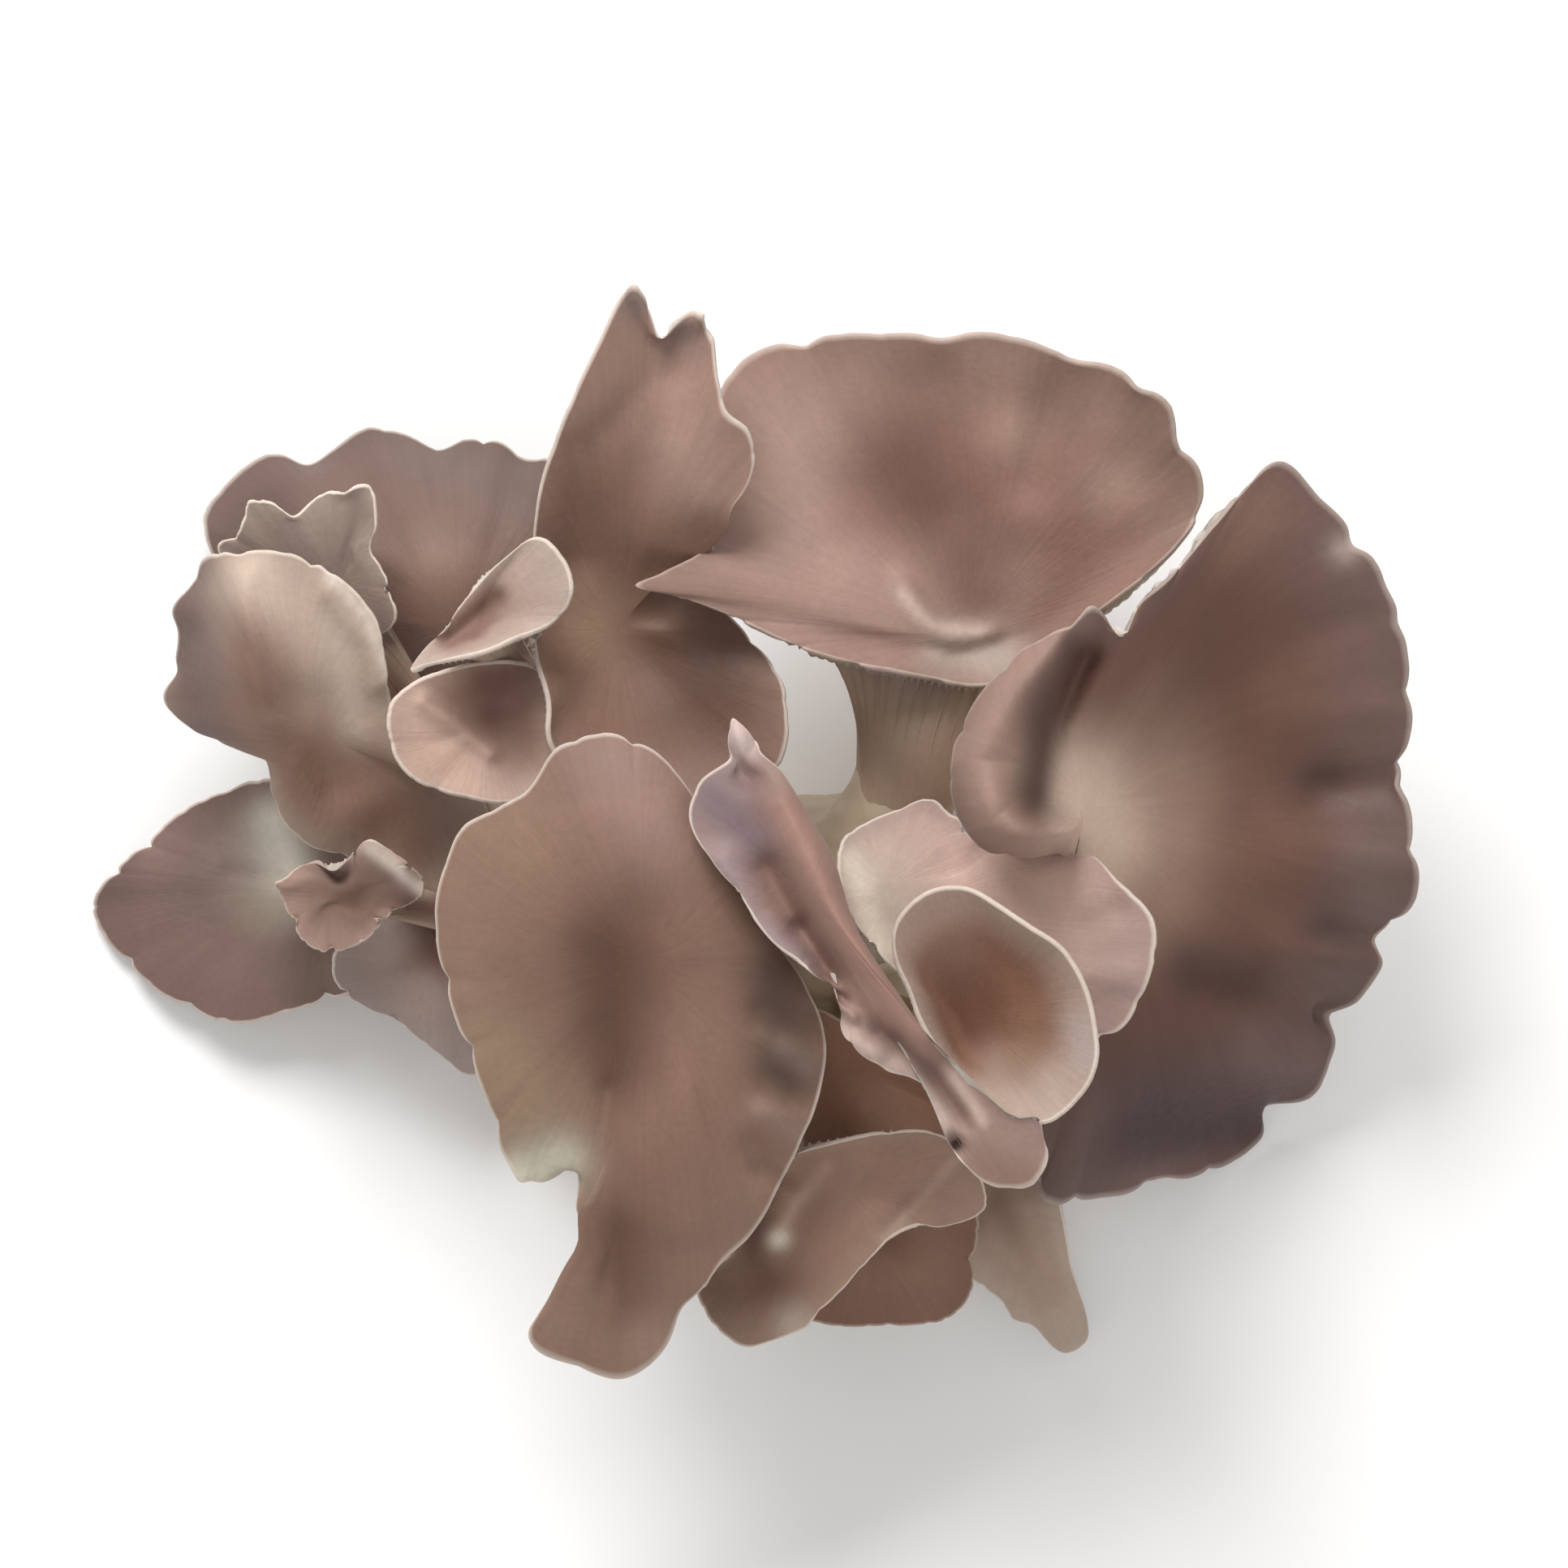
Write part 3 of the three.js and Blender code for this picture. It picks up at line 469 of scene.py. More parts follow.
feet = []
grow(
    "front_cap", 576, ("#725447", "#775b4d", "#806557"),
    patches=[
        # A painted highlight on the broad ridge down from the crown.
        ([(-19, 9), (-14, 2)], "#8b6f66", 9, 0.85),
        ([(-38, -2), (-42, -14)], "#836858", 9, 0.7),
        # Painted shade in the central hollow.
        ([(-22, -20), (-21, -34)], "#4e352a", 7, 0.85),
        # A painted highlight on the lower ridge beside it.
        ([(-10, -30), (-8, -50)], "#7b5e50", 7, 0.6),
        ([(-40, -34), (-34, -44)], "#8a7560", 8, 0.75),
        ([(-35, -53), (-30, -51)], "#b9b4a2", 4.5, 0.95),
        # Painted shade in the crease and on the darker right side.
        ([(3, -22), (6, -38)], "#43332c", 5.5, 0.85),
        # Painted highlights on the small raised flutes at the right rim.
        ([(5, -33), (9, -36)], "#8d766a", 2.4, 0.5),
        ([(2, -43), (8, -46)], "#8d756a", 2.4, 0.5),
        # Painted shade in the lower hollow.
        ([(-20, -62), (-20, -72)], "#583e31", 5, 0.75),
        ([(-31, -76)], "#83695d", 6, 0.6),
        # A painted highlight at the foot of the lower ridge.
        ([(-15, -80)], "#947b6d", 5, 0.6),
    ],
    moves=[
        ([(-22, -20), (-21, -34)], (0, 0, -1.6), 8),
        ([(-22, -40), (-22, -70)], (0, 0, -1.8), 2.5),
        ([(-12, -20), (-10, -60)], (0, 0, 1.5), 6),
        ([(10, -28), (2, -27)], (0, 0, -1), 2.2),
        ([(11, -34), (3, -32)], (0, 0, 1.2), 2.2),
        ([(10, -39), (3, -38)], (0, 0, -1), 2.2),
        ([(9, -44), (2, -43)], (0, 0, 1.2), 2.2),
        ([(6, -51), (0, -49)], (0, 0, -1.5), 2.5),
        ([(7, -55), (1, -52)], (0, 0, -2), 1.6),
        ([(-29, -56)], (1.5, 4, 0), 2.2),
        ([(-26, -60)], (-1, 1, 0), 2.5),
        ([(-38, -54)], (1, -3, 1), 2.6),
        ([(-25, -65)], (1.5, 0, 0), 3),
        ([(-34, -78)], (-1.5, 0, 0), 3),
        ([(-9, -76)], (-1.5, 1.5, 0), 4),
    ],
    ruffle=0.8, nicks=1.0, seed=3,
)

# ---- Right cap ----
# The largest and darkest fan, of thin satin flesh. Its near side rolls up into a curled
# lip beside the pale throat, and a thick stem joins it to the right side of the base.
grow(
    "right_cap", 576, ("#c0a794", "#68493d", "#65504a"),
    patches=[
        # The pale throat is its own cream colour, lightened further: painted light where the throat
        # lies in shade.
        ([(51.5, 9), (56, 0)], "#e4ccb8", 8.5, 0.9),
        ([(66, 6), (64, -12)], "#86675a", 8, 0.6),
        # Painted light on the raised, curled lip.
        ([(49, 33), (39, 23), (33.5, 12), (37, 1), (46, -3)], "#9c8074", 4.2, 0.9),
        # Painted shade in the groove between the lip and the throat.
        ([(51, 29), (46, 18), (44, 5)], "#4f362e", 3.4, 0.92),
        # Painted shade in the broad low trough near the bottom.
        ([(64, -46), (82, -48)], "#402e30", 13, 0.9),
        # Painted shade in the furrow across the fan.
        ([(78, -24), (70, -22)], "#432d27", 5, 0.8),
        # Painted shadows in two dents near the rim.
        ([(91, 8), (86, 7)], "#4b3832", 4, 0.7),
        ([(92, -14), (96, -16)], "#4d3a36", 3, 0.7),
        ([(97, -4), (98, -11)], "#6f5c57", 6, 0.6),
        ([(97, 14), (98, 20)], "#6a544c", 6, 0.5),
        ([(72, 30), (60, 20)], "#6a4b40", 12, 0.7),
        ([(80, 8), (74, -8)], "#6d4f43", 8, 0.5),
        ([(93, 45)], "#a6948b", 2.5, 0.75),
        ([(80, -34), (88, -36)], "#6d5552", 5, 0.6),
        ([(60, -56), (80, -52)], "#6e514a", 3, 0.6),
        ([(76, 47), (80, 51)], "#7b5c50", 7, 0.6),
    ],
    moves=[
        ([(49, 32), (39.5, 23), (34, 12), (37, 2), (45, -2)], (0, 0, 4), 3.8),
        ([(52, 28), (47, 17), (45, 7)], (0, 0, -6), 2.8),
        ([(53, 35)], (0, 2.5, 6), 3),
        ([(57, 35)], (0.5, -4, -2), 2.4),
        ([(100, 8), (90, 7.5)], (0, 0, -2), 3),
        ([(90, 7.5), (80, 7)], (0, 0, -0.8), 5),
        ([(100, -16), (90, -15)], (0, 0, -2), 3),
        ([(92, -27), (72, -22)], (0, 0, -2.8), 4.5),
        ([(84, -45), (58, -46)], (0, 0, -2.5), 6),
        ([(104, -4), (86, -4)], (0, 0, 1.6), 5),
        ([(98, -21), (84, -19)], (0, 0, 1.4), 4),
        ([(92, -36), (72, -33)], (0, 0, 1.6), 4.5),
        ([(98, 20), (84, 18)], (0, 0, 1.2), 5),
        ([(95, 34), (82, 30)], (0, 0, -1.2), 4.5),
        ([(104, 8)], (-2, 0, 0), 2),
        ([(102, -17)], (-3.5, 0.5, 0), 2.6),
        ([(93, -29)], (-3.5, 1, 0), 2.5),
        ([(86, -46)], (-3.5, 2, 0), 3),
        ([(95, 46)], (-1.5, -1, 0), 2),
        ([(101, 33)], (-1, 0, 0), 2),
        ([(66, -57)], (0, 1.5, 0), 3),
    ],
    ruffle=1.0, nicks=1.8, seed=5, pale_rim=0.35, lobes=26,
)

# ---- Top right cap ----
# The second largest: a mauve funnel that opens to the far side, pale in its throat. Its
# thick grey-brown stem, which shows from above, grew from the back of the base.
grow(
    "top_right_cap", 576, ("#a88b80", "#836257", "#866b60"),
    patches=[
        ([(8, 62), (6, 45), (18, 38)], "#a2867b", 12, 0.8),
        # Painted shade down the inside of the funnel.
        ([(22, 58), (32, 48), (36, 38)], "#6f5046", 8, 0.85),
        # Painted highlights on the two raised ridges.
        ([(41, 64)], "#a88b7c", 6, 0.7),
        ([(57, 55)], "#ac8f80", 5.5, 0.75),
        # Painted shade in the trough between them.
        ([(50, 68)], "#7a6057", 5, 0.5),
        ([(60, 71), (67, 62)], "#735a51", 5, 0.6),
        ([(30, 29), (40, 28)], "#a5948a", 4.5, 0.9),
        # A painted highlight on the thin raised lip in the throat.
        ([(24, 38), (28, 33), (36, 32)], "#bfaa9d", 1.2, 0.8),
        ([(5, 32), (20, 27)], "#a08278", 4, 0.6),
        # The stem is painted darker here: painted shade where it lies under the caps.
        ([(17, 16), (24, 10)], "#7f6b5c", 6, 0.6),
        ([(60, 45), (50, 36)], "#83655a", 6, 0.6),
    ],
    moves=[
        ([(24, 40), (27, 34), (31, 31), (38, 32)], (0, 0, 0.9), 1.8),
        ([(40, 70), (39, 52)], (0, 0, 1.5), 6),
        ([(28, 70), (31, 52)], (0, 0, -1.5), 6),
        ([(55, 62), (46, 50)], (0, 0, 1.2), 5),
        ([(49, 70), (44, 56)], (0, 0, -1.2), 4.5),
        ([(8, 79)], (0, -0.9, 0), 3),
        ([(30, 79)], (0, -1, 0), 3.5),
        ([(52, 77)], (0, -1.3, 0), 3),
        ([(62, 72)], (-1.2, -1.2, 0), 2.6),
        ([(68, 62)], (-2, -0.5, 0), 3.5),
    ],
    ruffle=0.8, nicks=1.0, seed=8, pale_rim=0.4,
)

# ---- Top centre cap ----
# One brown cap of two lobes joined by a narrow waist, the upper one with a split tip. It
# sits on a stem that leans back from the base.
grow(
    "top_centre_cap", 576, ("#73564a", "#7b5d50", "#8a6e62"),
    patches=[
        # A painted highlight on the raised ridge of the upper lobe.
        ([(-12, 62), (-10, 56)], "#9a7e71", 7, 0.85),
        # Painted shade in the trough beside it.
        ([(-26, 52), (-28, 44)], "#6d5145", 7, 0.8),
        ([(-24, 34), (-26, 26)], "#9c7f6a", 7, 0.8),
        # A painted shadow cast over the lower lobe by the top right cap's edge.
        ([(-9, 31), (-5, 23)], "#523a2f", 10, 0.85),
        ([(-18, 72)], "#7f665a", 6, 0.6),
        ([(-10, 78)], "#74625c", 4, 0.7),
        ([(-18, 83)], "#6f605a", 3.5, 0.85),
        ([(-22, 18), (-26, 22)], "#8a6a5c", 5, 0.5),
    ],
    moves=[
        ([(-22, 64), (-14, 72)], (0, 0, -0.8), 2.6),
        ([(-13, 66), (-8, 52)], (0, 0, 2), 5),
        ([(-26, 60), (-27, 44)], (0, 0, -1.5), 4),
        ([(-14, 81)], (0, -3, 0), 2.2),
        ([(-6, 46), (-10, 42)], (4, 0, 0), 4),
        ([(-3, 66)], (-1.5, -1, 0), 3),
        ([(-12, 35)], (0, 0, 2), 4.5),
        ([(-18, 85), (-15, 80), (-7, 81)], (0, 0, 2), 1.5),
    ],
    ruffle=0.7, nicks=1.2, seed=11,
)

# ---- Ruffled fold ----
# A narrow mauve cap folded along its length, thin and crinkled where it bends, with a
# small knob at its far end. It stands highest, on a long stem from the middle of the base.
grow(
    "ruffled_fold", 384, ("#84685d", "#85695f", "#8b746c"),
    patches=[
        ([(-2, 17), (-1, 14)], "#b9a6a0", 2.5, 0.9),
        # Painted shade at the narrow neck.
        ([(-2, 10), (0, 8)], "#6f5a55", 2.5, 0.6),
        ([(-6, 6), (0, 0)], "#6c5b60", 5, 0.85),
        # A painted highlight along the raised fold.
        ([(6, 4), (11, -7), (18, -20), (26, -33)], "#967468", 3, 0.85),
        ([(-4, -5), (-1, -13), (7, -19)], "#8c7a7b", 3.2, 0.9),
        # Painted shade in the crease beside the fold.
        ([(3, -5), (8, -14), (14, -23)], "#7a5d53", 1.8, 0.8),
        # A painted highlight on the lower ridge.
        ([(14, -31), (24, -37), (30, -44)], "#b09b92", 3, 0.85),
        # Painted shade in the crease beside it.
        ([(22, -31), (30, -39), (34, -44)], "#6f564c", 1.5, 0.8),
        ([(31, -37), (36, -44)], "#b39d93", 1.2, 0.8),
        # Painted shade in a small dark hole.
        ([(32, -48)], "#3f2f2a", 1.3, 0.95),
        ([(37, -52), (44, -54)], "#82665a", 4, 0.8),
    ],
    moves=[
        ([(-5, 11.5)], (2.2, 0, 0), 2.2),
        ([(2, 12)], (-1.8, 0, 0), 2.2),
        ([(-1, 10), (0, 9)], (0, 0, -2), 2.2),
        ([(-2, 16)], (0, 0, 1.5), 2.5),
        ([(5, 5), (10, -5), (15, -15), (20, -24), (26, -32)], (0, 0, 3), 3),
        ([(3, -5), (7, -13)], (0, 0, -2.5), 2.4),
        ([(8, -15), (13, -22)], (0, 0, -3), 2),
        ([(-4, -4), (0, -13), (7, -19)], (0, 0, 2), 3),
        ([(9, -20.5), (13, -23.5)], (0, 0, 1.8), 1),
        ([(10.5, -23), (14.5, -25.5)], (0, 0, -1.6), 0.9),
        ([(12, -25), (16, -28)], (0, 0, 1.6), 1),
        ([(10, -25), (11, -28)], (3, 1, 0), 2),
        ([(16, -32), (24, -36.5), (29, -43)], (0, 0, 1.8), 2.2),
        ([(20, -30), (27, -35.5), (33, -44)], (0, 0, -2.6), 1.7),
        ([(31, -35), (38, -43), (46, -49)], (0, 0, -1.5), 2.5),
        ([(22, -35), (29, -43)], (0, 0, -2), 2),
        ([(32, -48)], (0, 0, -3), 1.3),
        ([(40, -57)], (0, 1.5, 0), 1.6),
        ([(43.5, -46)], (1.5, 2.2, 0), 2.2),
    ],
    ruffle=0.7, nicks=0.9, seed=14, flesh=0.7, gill=0.5,
)

# ---- Centre right cap ----
# A pale pinkish cap between the front and right ones, cream towards its hidden stem,
# which rises from the right of the base.
grow(
    "centre_right_cap", 384, ("#b89f92", "#b3968b", "#9a827c"),
    patches=[
        ([(18, -6), (23, -14)], "#b3a294", 8, 0.95),
        ([(36, -4), (48, -10)], "#d3b2a5", 8, 0.85),
        ([(58, -18), (56, -28)], "#8f7870", 6, 0.7),
        ([(15.5, -4), (20, -18)], "#d6c8b8", 2.2, 0.75),
    ],
    moves=[
        ([(57, -12), (52, -14)], (0, 0, -1.2), 2.5),
        ([(59, -22), (52, -22)], (0, 0, 1.2), 3),
        ([(38, -5), (53, -6)], (0, 3.5, -1), 3.5),
        ([(31, 5)], (-1, -2, 0), 3),
    ],
    ruffle=0.6, nicks=0.8, seed=17, flesh=1.4, gill=1.2,
)

# ---- Round cap ----
# A small round cup with a sunken brown centre and a pale rim, on a slim stem that rises
# steeply from the base.
grow(
    "round_cap", 288, ("#613f2f", "#7a5847", "#a28d80"),
    patches=[
        ([(25, -13), (31, -10)], "#a38a7d", 5, 0.7),
        ([(33, -17)], "#87675a", 4, 0.6),
        ([(46, -38), (40, -40)], "#a8978a", 5, 0.7),
        ([(51, -30), (52, -34)], "#a39592", 3, 0.6),
        ([(44, -31), (42, -36)], "#7d5e4c", 4, 0.6),
    ],
    moves=[([(35, -24), (38, -32)], (0, 0, -2), 7)],
    ruffle=0.3, nicks=0.3, seed=20, flesh=1.0, gill=0.8,
)

# ---- Upper left cap ----
# A broad mauve cap of thin flesh behind the folded ones, with a scalloped far rim. Its
# stem leans out to the back left of the base.
grow(
    "upper_left_cap", 384, ("#7a5f53", "#6f574e", "#634f48"),
    patches=[
        ([(-78, 52), (-82, 48)], "#57443d", 5, 0.75),
        ([(-64, 50), (-60, 44)], "#6a544b", 7, 0.7),
        ([(-52, 60), (-36, 55)], "#6b5b54", 6, 0.6),
        ([(-50, 42)], "#94776a", 6, 0.6),
    ],
    moves=[
        ([(-71, 62)], (0, -2, 0), 3),
        ([(-49, 64)], (0, -1, 0), 3),
        ([(-36, 61)], (0, -1.5, 0), 3),
    ],
    ruffle=0.8, nicks=1.2, seed=23, flesh=1.4, gill=1.2,
)

# ---- Left folded cap ----
# A beige cap bent along a ridge, so that its left flap hangs down, while its near lobe
# runs in towards the base, which a leaning stem joins it to.
grow(
    "left_fold_cap", 384, ("#84685a", "#8d7264", "#a08c7e"),
    patches=[
        # The hanging flap and the crease above it are painted dark: painted shade.
        ([(-90, 42), (-89, 30), (-87, 16)], "#5f4a44", 7, 0.97),
        ([(-80, 36), (-79, 27), (-76, 18)], "#75594d", 3.2, 0.8),
        ([(-78, 40), (-70, 34)], "#b5a293", 5.5, 0.9),
        ([(-69, 31), (-69, 24), (-72, 18)], "#b09a8a", 4, 0.7),
        ([(-66, 41), (-60, 34), (-57, 25)], "#cdc0b4", 1.1, 0.7),
        ([(-63, 17), (-65, 31)], "#bba899", 4.2, 0.85),
        ([(-70, 10), (-60, 4)], "#74574a", 8, 0.8),
        ([(-52, -2)], "#6b4e42", 6, 0.7),
    ],
    moves=[
        ([(-90, 38), (-90, 22)], (0, 0, -5), 6),
        ([(-80, 40), (-79, 26), (-76, 18)], (0, 0, 2.2), 3),
        ([(-70, 20), (-66, 8)], (0, 0, -2), 4),
        ([(-66, 38), (-60, 30), (-59, 24)], (0, 0, 1.5), 2),
        ([(-93, 26)], (1.5, 0, 0), 2),
        ([(-89, 36)], (-2.5, 0, 0), 3.5),
        ([(-54, -4), (-47, -5)], (0, -6, 1), 4),
    ],
    ruffle=0.7, nicks=1.2, seed=26, flesh=1.2, gill=0.9,
)

# ---- Frilled cap ----
# A small beige cap of very thin flesh with a frilled, almost white rim, squeezed in
# between the upper left cap and the folded one on its own slim stem.
grow(
    "frilled_cap", 288, ("#84736a", "#8a786e", "#96867b"),
    patches=[
        ([(-70, 48)], "#94837a", 5, 0.6),
        ([(-61, 51)], "#74625a", 3, 0.6),
        ([(-58, 38), (-58, 32)], "#7f6b62", 3, 0.7),
        # Painted shade in the small gap between this cap and its neighbours.
        ([(-58, 27), (-54, 20)], "#5b4136", 4, 0.9),
    ],
    moves=[
        ([(-72, 53)], (0, -2.5, 0), 2.5),
        ([(-64, 56)], (0, -1.5, 1), 2.5),
        ([(-60, 54)], (1, 1.5, 0), 2.5),
        ([(-60, 45)], (-2, 0, 0), 3),
    ],
    ruffle=1.0, nicks=0.8, seed=29, flesh=0.8, gill=0.7, pale_rim=0.9,
)

# ---- Spoon cap ----
# A small pale cap shaped like a spoon, creased where it narrows. It grew on a slim stem
# between larger neighbours, which kept it narrow.
grow(
    "spoon_cap", 288, ("#80645a", "#a08a7e", "#a9968b"),
    # The crease where it narrows is painted dark: painted shade.
    patches=[([(-47, 31), (-40, 37)], "#785a4e", 2.2, 0.85), ([(-33, 41)], "#ab988d", 4, 0.6)],
    moves=[([(-47, 31), (-40, 37)], (0, 0, -2), 1.8)],
    ruffle=0.3, nicks=0.3, seed=32, flesh=0.8, gill=0.6,
)

# ---- Shell cap ----
# A small cupped cap of thin brown flesh, with a hollow painted dark as shade and a near
# wall painted light where light falls on it, on a slim stem from the left of the base.
grow(
    "shell_cap", 288, ("#7d5b4e", "#9a7a6d", "#ae9486"),
    patches=[
        # Painted light on the raised near wall.
        ([(-50, 17), (-44, 12)], "#d2b3a3", 5, 0.85),
        # Painted shade in the hollow.
        ([(-42, 25), (-36, 26)], "#6f5047", 4, 0.8),
        ([(-36, 16)], "#8a6c60", 4, 0.6),
    ],
    moves=[([(-51, 21), (-46, 17), (-41, 13)], (0, 0, 1.4), 1.6)],
    ruffle=0.4, nicks=0.4, seed=35, flesh=0.9, gill=0.7,
)

# ---- Left cap ----
# The low mauve cap at the far left, shaped like a leaf and pale where its stem begins.
# The stem leaves the base almost level.
grow(
    "left_cap", 384, ("#948a7b", "#705b53", "#6d5750"),
    patches=[
        ([(-80, -3)], "#98877c", 7, 0.7),
        ([(-76, 2), (-74, -5)], "#e4dccd", 4.3, 0.85),
        ([(-70, -18), (-71, -25)], "#58493f", 4.5, 0.8),
        ([(-95, -2)], "#8a736c", 6, 0.5),
    ],
    moves=[([(-72, -18), (-71, -27)], (0, 0, 1.2), 4), ([(-83, -6), (-75, -7)], (0, 0, -1), 2)],
    ruffle=0.7, nicks=1.4, seed=38, flesh=1.4, gill=1.2,
)

# ---- Knotted cap ----
# A small crumpled cap with a hooked pale rim, stunted between its neighbours, on a thin
# stem that leaves the base almost level.
grow(
    "knotted_cap", 288, ("#644a40", "#7b6257", "#93796e"),
    patches=[
        # Painted shade in the sunken dip.
        ([(-70, -3), (-66, -7)], "#6b564d", 2.5, 0.7),
        ([(-60, -2), (-56, -5), (-52, -9)], "#d5c6ba", 1.2, 0.9),
        # Painted shade in the gap beside the lower left cap.
        ([(-54, -11), (-48, -12)], "#5b4036", 3, 0.95),
    ],
    moves=[
        ([(-71, -2), (-65, -6)], (0, 0, -2.5), 1.6),
        ([(-60, -2), (-55, -6)], (0, 1, 2.5), 1.8),
        ([(-66, -14)], (0, 2.5, 0), 2.5),
        ([(-66, -1)], (0, -4, 0), 3),
        ([(-73, -5)], (-1, -2.5, 0), 3),
    ],
    ruffle=0.9, nicks=1.2, seed=41, flesh=0.8, gill=0.6, pale_rim=0.4,
)

# ---- Lower left cap ----
# A thin pinkish cap low on the left side, half hidden under the front one, on a short
# stem from the base.
grow(
    "lower_left_cap", 288, ("#7d5a4e", "#93807a", "#978883"),
    patches=[
        ([(-58, -21), (-52, -26)], "#aa968d", 5, 0.7),
        # Painted shade in the gap beside the knotted cap.
        ([(-54, -10), (-50, -14)], "#64483d", 4, 0.85),
    ],
    ruffle=0.6, nicks=1.0, seed=44, flesh=1.0, gill=0.8,
)

# ---- Bottom lobe cap ----
# A long curved brown cap that lies across the bottom one, paler at its edges, where the
# flesh is thin or torn, with a painted highlight on the bulge at its near end. Its stem grew
# from the near side of the base.
grow(
    "bottom_lobe_cap", 384, ("#7b5d50", "#886a5b", "#8e7465"),
    patches=[
        # Painted shade in the crease.
        ([(2, -58), (0, -64), (2, -70)], "#5c4236", 3, 0.7),
        # Painted highlights on the bulging near edge.
        ([(4, -64), (7, -58), (12, -52)], "#a8917f", 1.1, 0.6),
        ([(4.5, -63.5)], "#cdc2b4", 1.7, 0.9),
        ([(21, -63), (27, -57), (32, -51)], "#a8917f", 0.9, 0.6),
        ([(-4, -72), (4, -71)], "#6a4c3f", 5, 0.7),
        ([(14, -56)], "#8a6e60", 6, 0.6),
        ([(7, -77)], "#ab9a8d", 3.5, 0.8),
        ([(38, -58), (30, -58)], "#96796b", 5, 0.6),
    ],
    moves=[
        ([(4, -66), (8, -58)], (0, 0, 1.6), 2),
        ([(28, -56), (22, -62)], (0, 0, -1.2), 2),
        ([(10, -54), (3, -62)], (-3.5, 2.5, 0), 4.5),
        ([(8, -78)], (1.5, 0, 0), 2.5),
    ],
    ruffle=0.5, nicks=0.8, seed=47, flesh=1.2, gill=0.8,
)

# ---- Cap under the centre ----
# A dark brown cap in the shade below the fold. Only its middle shows between the caps
# above it, and a short stem holds it to the base.
grow(
    "under_centre_cap", 288, ("#825f4c", "#8a6551", "#8a6a58"),
    moves=[([(12, -46)], (-3, -4, 0), 4), ([(12, -31)], (-2, 3, 0), 3)],
    seed=50, flesh=1.0, gill=0.8, pale_rim=0.2,
)

# ---- Bottom cap ----
# A warm brown cap with an even rim, lowest on the near side, on a short stem that leans
# out from under the others.
grow(
    "bottom_cap", 288, ("#7a5a4a", "#866757", "#7c5c4d"),
    ruffle=0.5, nicks=1.0, seed=53, flesh=1.0, gill=0.8, pale_rim=0.3,
)

# ---- Bottom right cap ----
# A pale narrow tongue of thin flesh with a rounded tip, bent down, on a stem from the
# near right of the base.
grow(
    "bottom_right_cap", 288, ("#8e7364", "#9a8274", "#a69485"),
    patches=[([(50, -78)], "#ac9a8a", 3.5, 0.8)],
    moves=[([(43, -76)], (-1, -1.5, 0), 2.5), ([(50, -80)], (0.5, -1.5, 0), 3)],
    ruffle=0.4, nicks=0.4, seed=56, flesh=1.0, gill=0.8,
)

# ---- Shared base ----
# The cut lump of flesh that all stems grow from: pale and lumpy, fused round every foot,
# and sliced flat below where the cluster was taken off its block.
CUT_LEVEL = 0.35  # in mm, below which the base is sliced flat
GRAIN = 0.0008  # size of the cubes in which base and collars are fused
COLLAR_ROWS = 5
COLLAR_SPOKES = 48
COLLAR_SWELL = [0.8, 0.97, 1.12, 1.22, 1.15]  # times the stem's own thickness, going down
COLLAR_LOWEST = 1.5
LOW_FLESH, HIGH_FLESH = "#a8927c", "#c2b29d"
PAINTED_SHADE_FLESH, CUT_FLESH = "#6f5a4a", "#d8cbb5"
bpy.ops.object.select_all(action="DESELECT")
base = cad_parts["shared_base"].copy()
base.data = base.data.copy()
base.name = "fused_base"
bpy.context.scene.collection.objects.link(base)
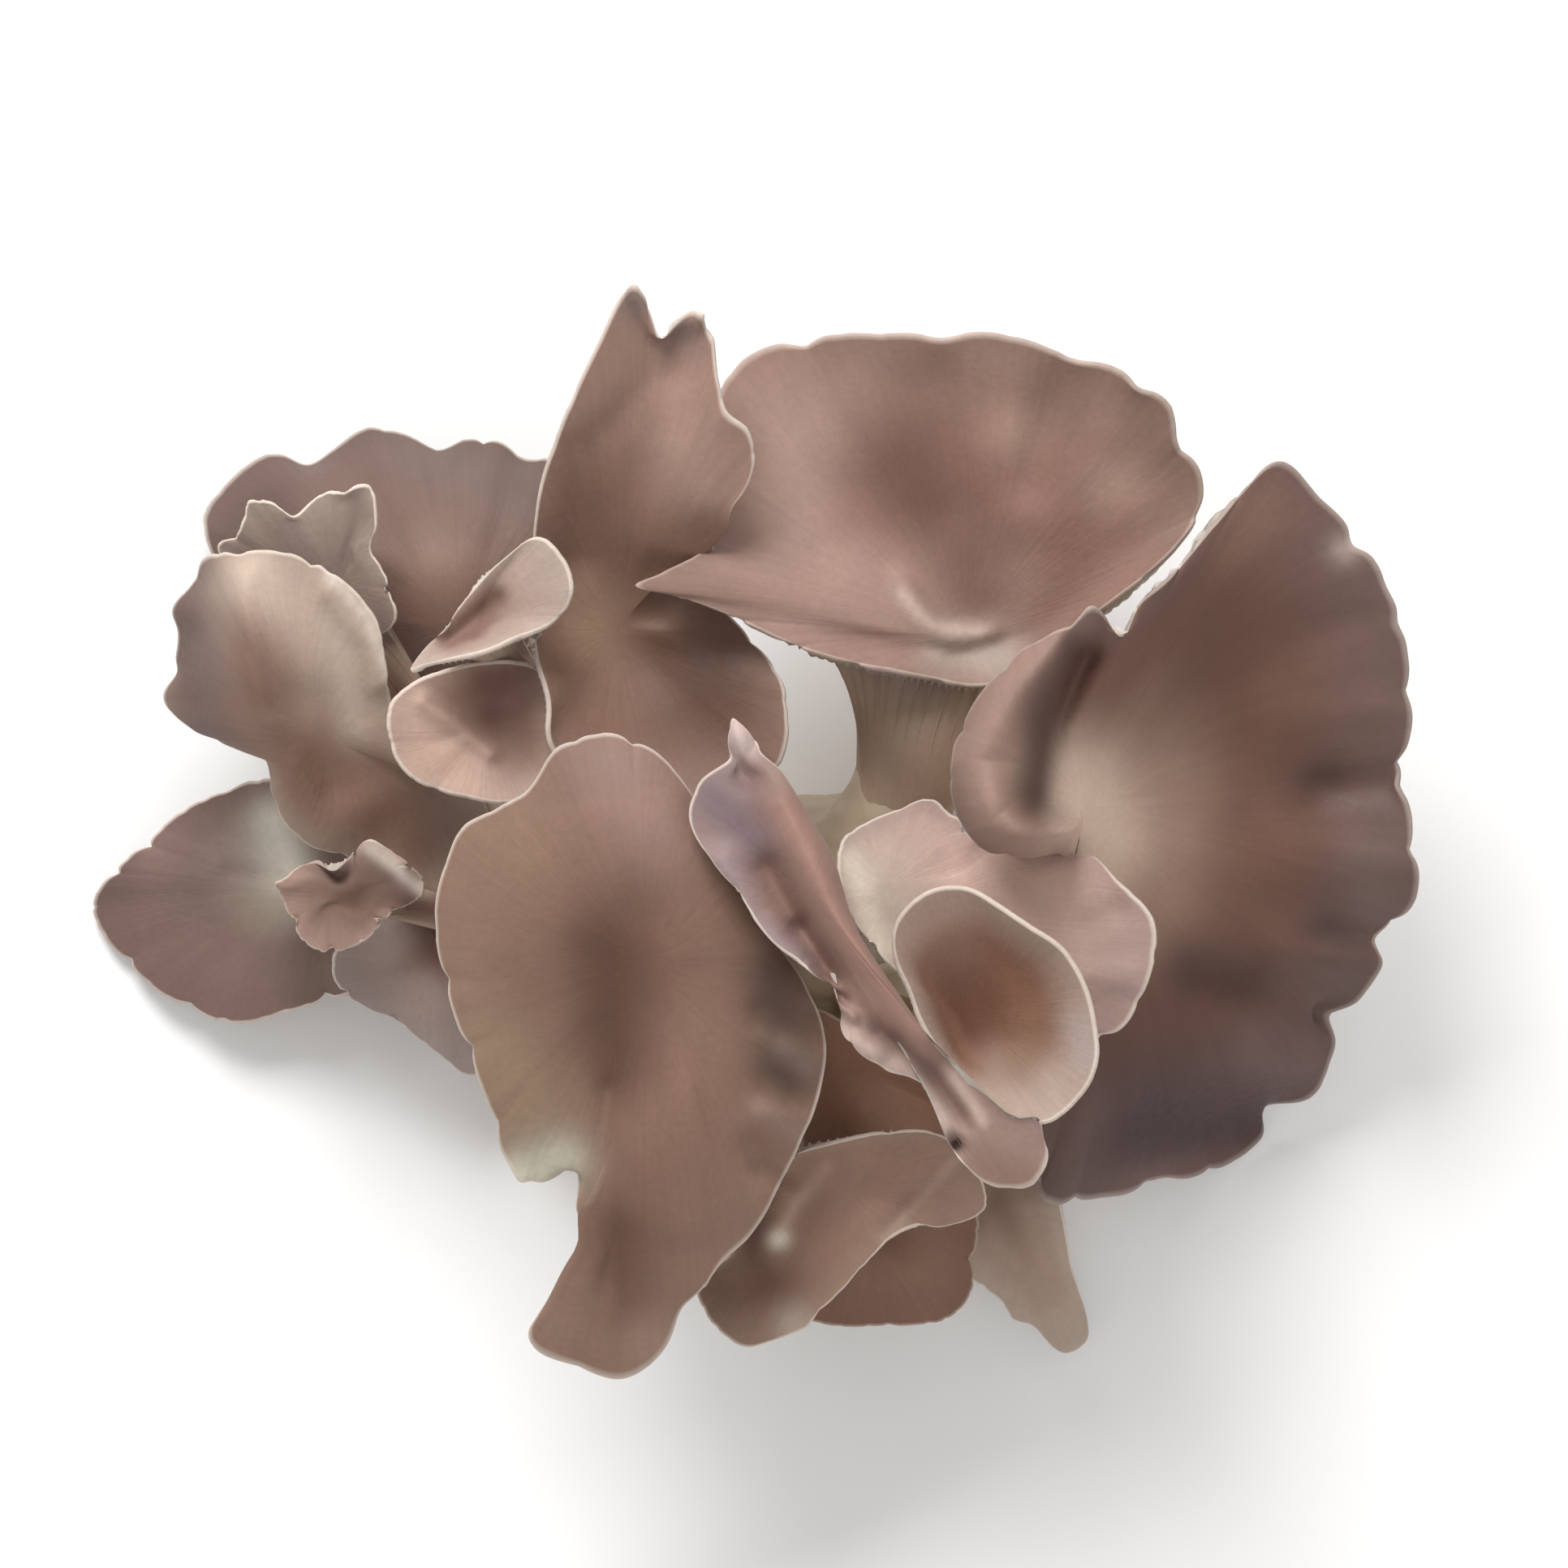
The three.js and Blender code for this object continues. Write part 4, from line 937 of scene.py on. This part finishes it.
# A collar swells round each foot, where stem and base have grown into each other.
collars = []
for number, stem in enumerate(feet):
    collar = stem[-COLLAR_ROWS:, :: stem.shape[1] // COLLAR_SPOKES]
    axis = collar.mean(axis=1, keepdims=True)
    collar = axis + (collar - axis) * np.array(COLLAR_SWELL)[:, None, None]
    collar[..., 2] = np.maximum(collar[..., 2], COLLAR_LOWEST)
    collars.append(rolled_sheet(f"collar_{number}", collar, collar[-1].mean(axis=0))[0])
for collar in collars:
    collar.select_set(True)
base.select_set(True)
bpy.context.view_layer.objects.active = base
bpy.ops.object.join()
merge_doubles()
# Base and collars become one skin, which is smoothed and then made gently lumpy.
fuse = base.modifiers.new("fuse", "REMESH")
fuse.mode = "VOXEL"
fuse.voxel_size = GRAIN
bpy.ops.object.modifier_apply(modifier="fuse")
soften = base.modifiers.new("soften", "SMOOTH")
soften.factor = 0.6
soften.iterations = 14
bpy.ops.object.modifier_apply(modifier="soften")
lumps = bpy.data.textures.new("lumps", "CLOUDS")
lumps.noise_scale = 0.006
swelling = base.modifiers.new("swelling", "DISPLACE")
swelling.texture = lumps
swelling.texture_coords = "LOCAL"
swelling.strength = 0.0012
bpy.ops.object.modifier_apply(modifier="swelling")
# The underside is one flat cut.
flesh_points = np.empty(len(base.data.vertices) * 3)
base.data.vertices.foreach_get("co", flesh_points)
flesh_points = flesh_points.reshape(-1, 3)
cut = flesh_points[:, 2] * 1000 < CUT_LEVEL
flesh_points[cut, 2] = 0
base.data.vertices.foreach_set("co", flesh_points.ravel())
bpy.ops.object.shade_smooth()
# The flesh is paler higher up, browner in the gap behind the fold, where shade is painted
# in, and bright where it was cut.
up = ramp(flesh_points[:, 2] * 1000, 0, 16)[:, None]
flesh_colour = tone(LOW_FLESH) + (tone(HIGH_FLESH) - tone(LOW_FLESH)) * up
gap = near(flesh_points * 1000, [(10, 6), (20, 4)])
# Painted shade in the gap behind the fold.
painted_shade = 0.95 * np.exp(-((gap / 8) ** 2))[:, None]
flesh_colour += (tone(PAINTED_SHADE_FLESH) - flesh_colour) * painted_shade * up
flesh_colour[cut] = tone(CUT_FLESH)
data = base.data.attributes.new("tint", "FLOAT_COLOR", "POINT")
data.data.foreach_set("color", np.column_stack([flesh_colour, np.ones(len(cut))]).ravel())
data = base.data.attributes.new("fibre", "FLOAT_VECTOR", "POINT")
data.data.foreach_set("vector", (flesh_points * (20, 20, 8)).ravel())
base.data.materials.clear()
base.data.materials.append(mushroom_skin("base_flesh"))
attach(base, "root")
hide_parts("shared_base")
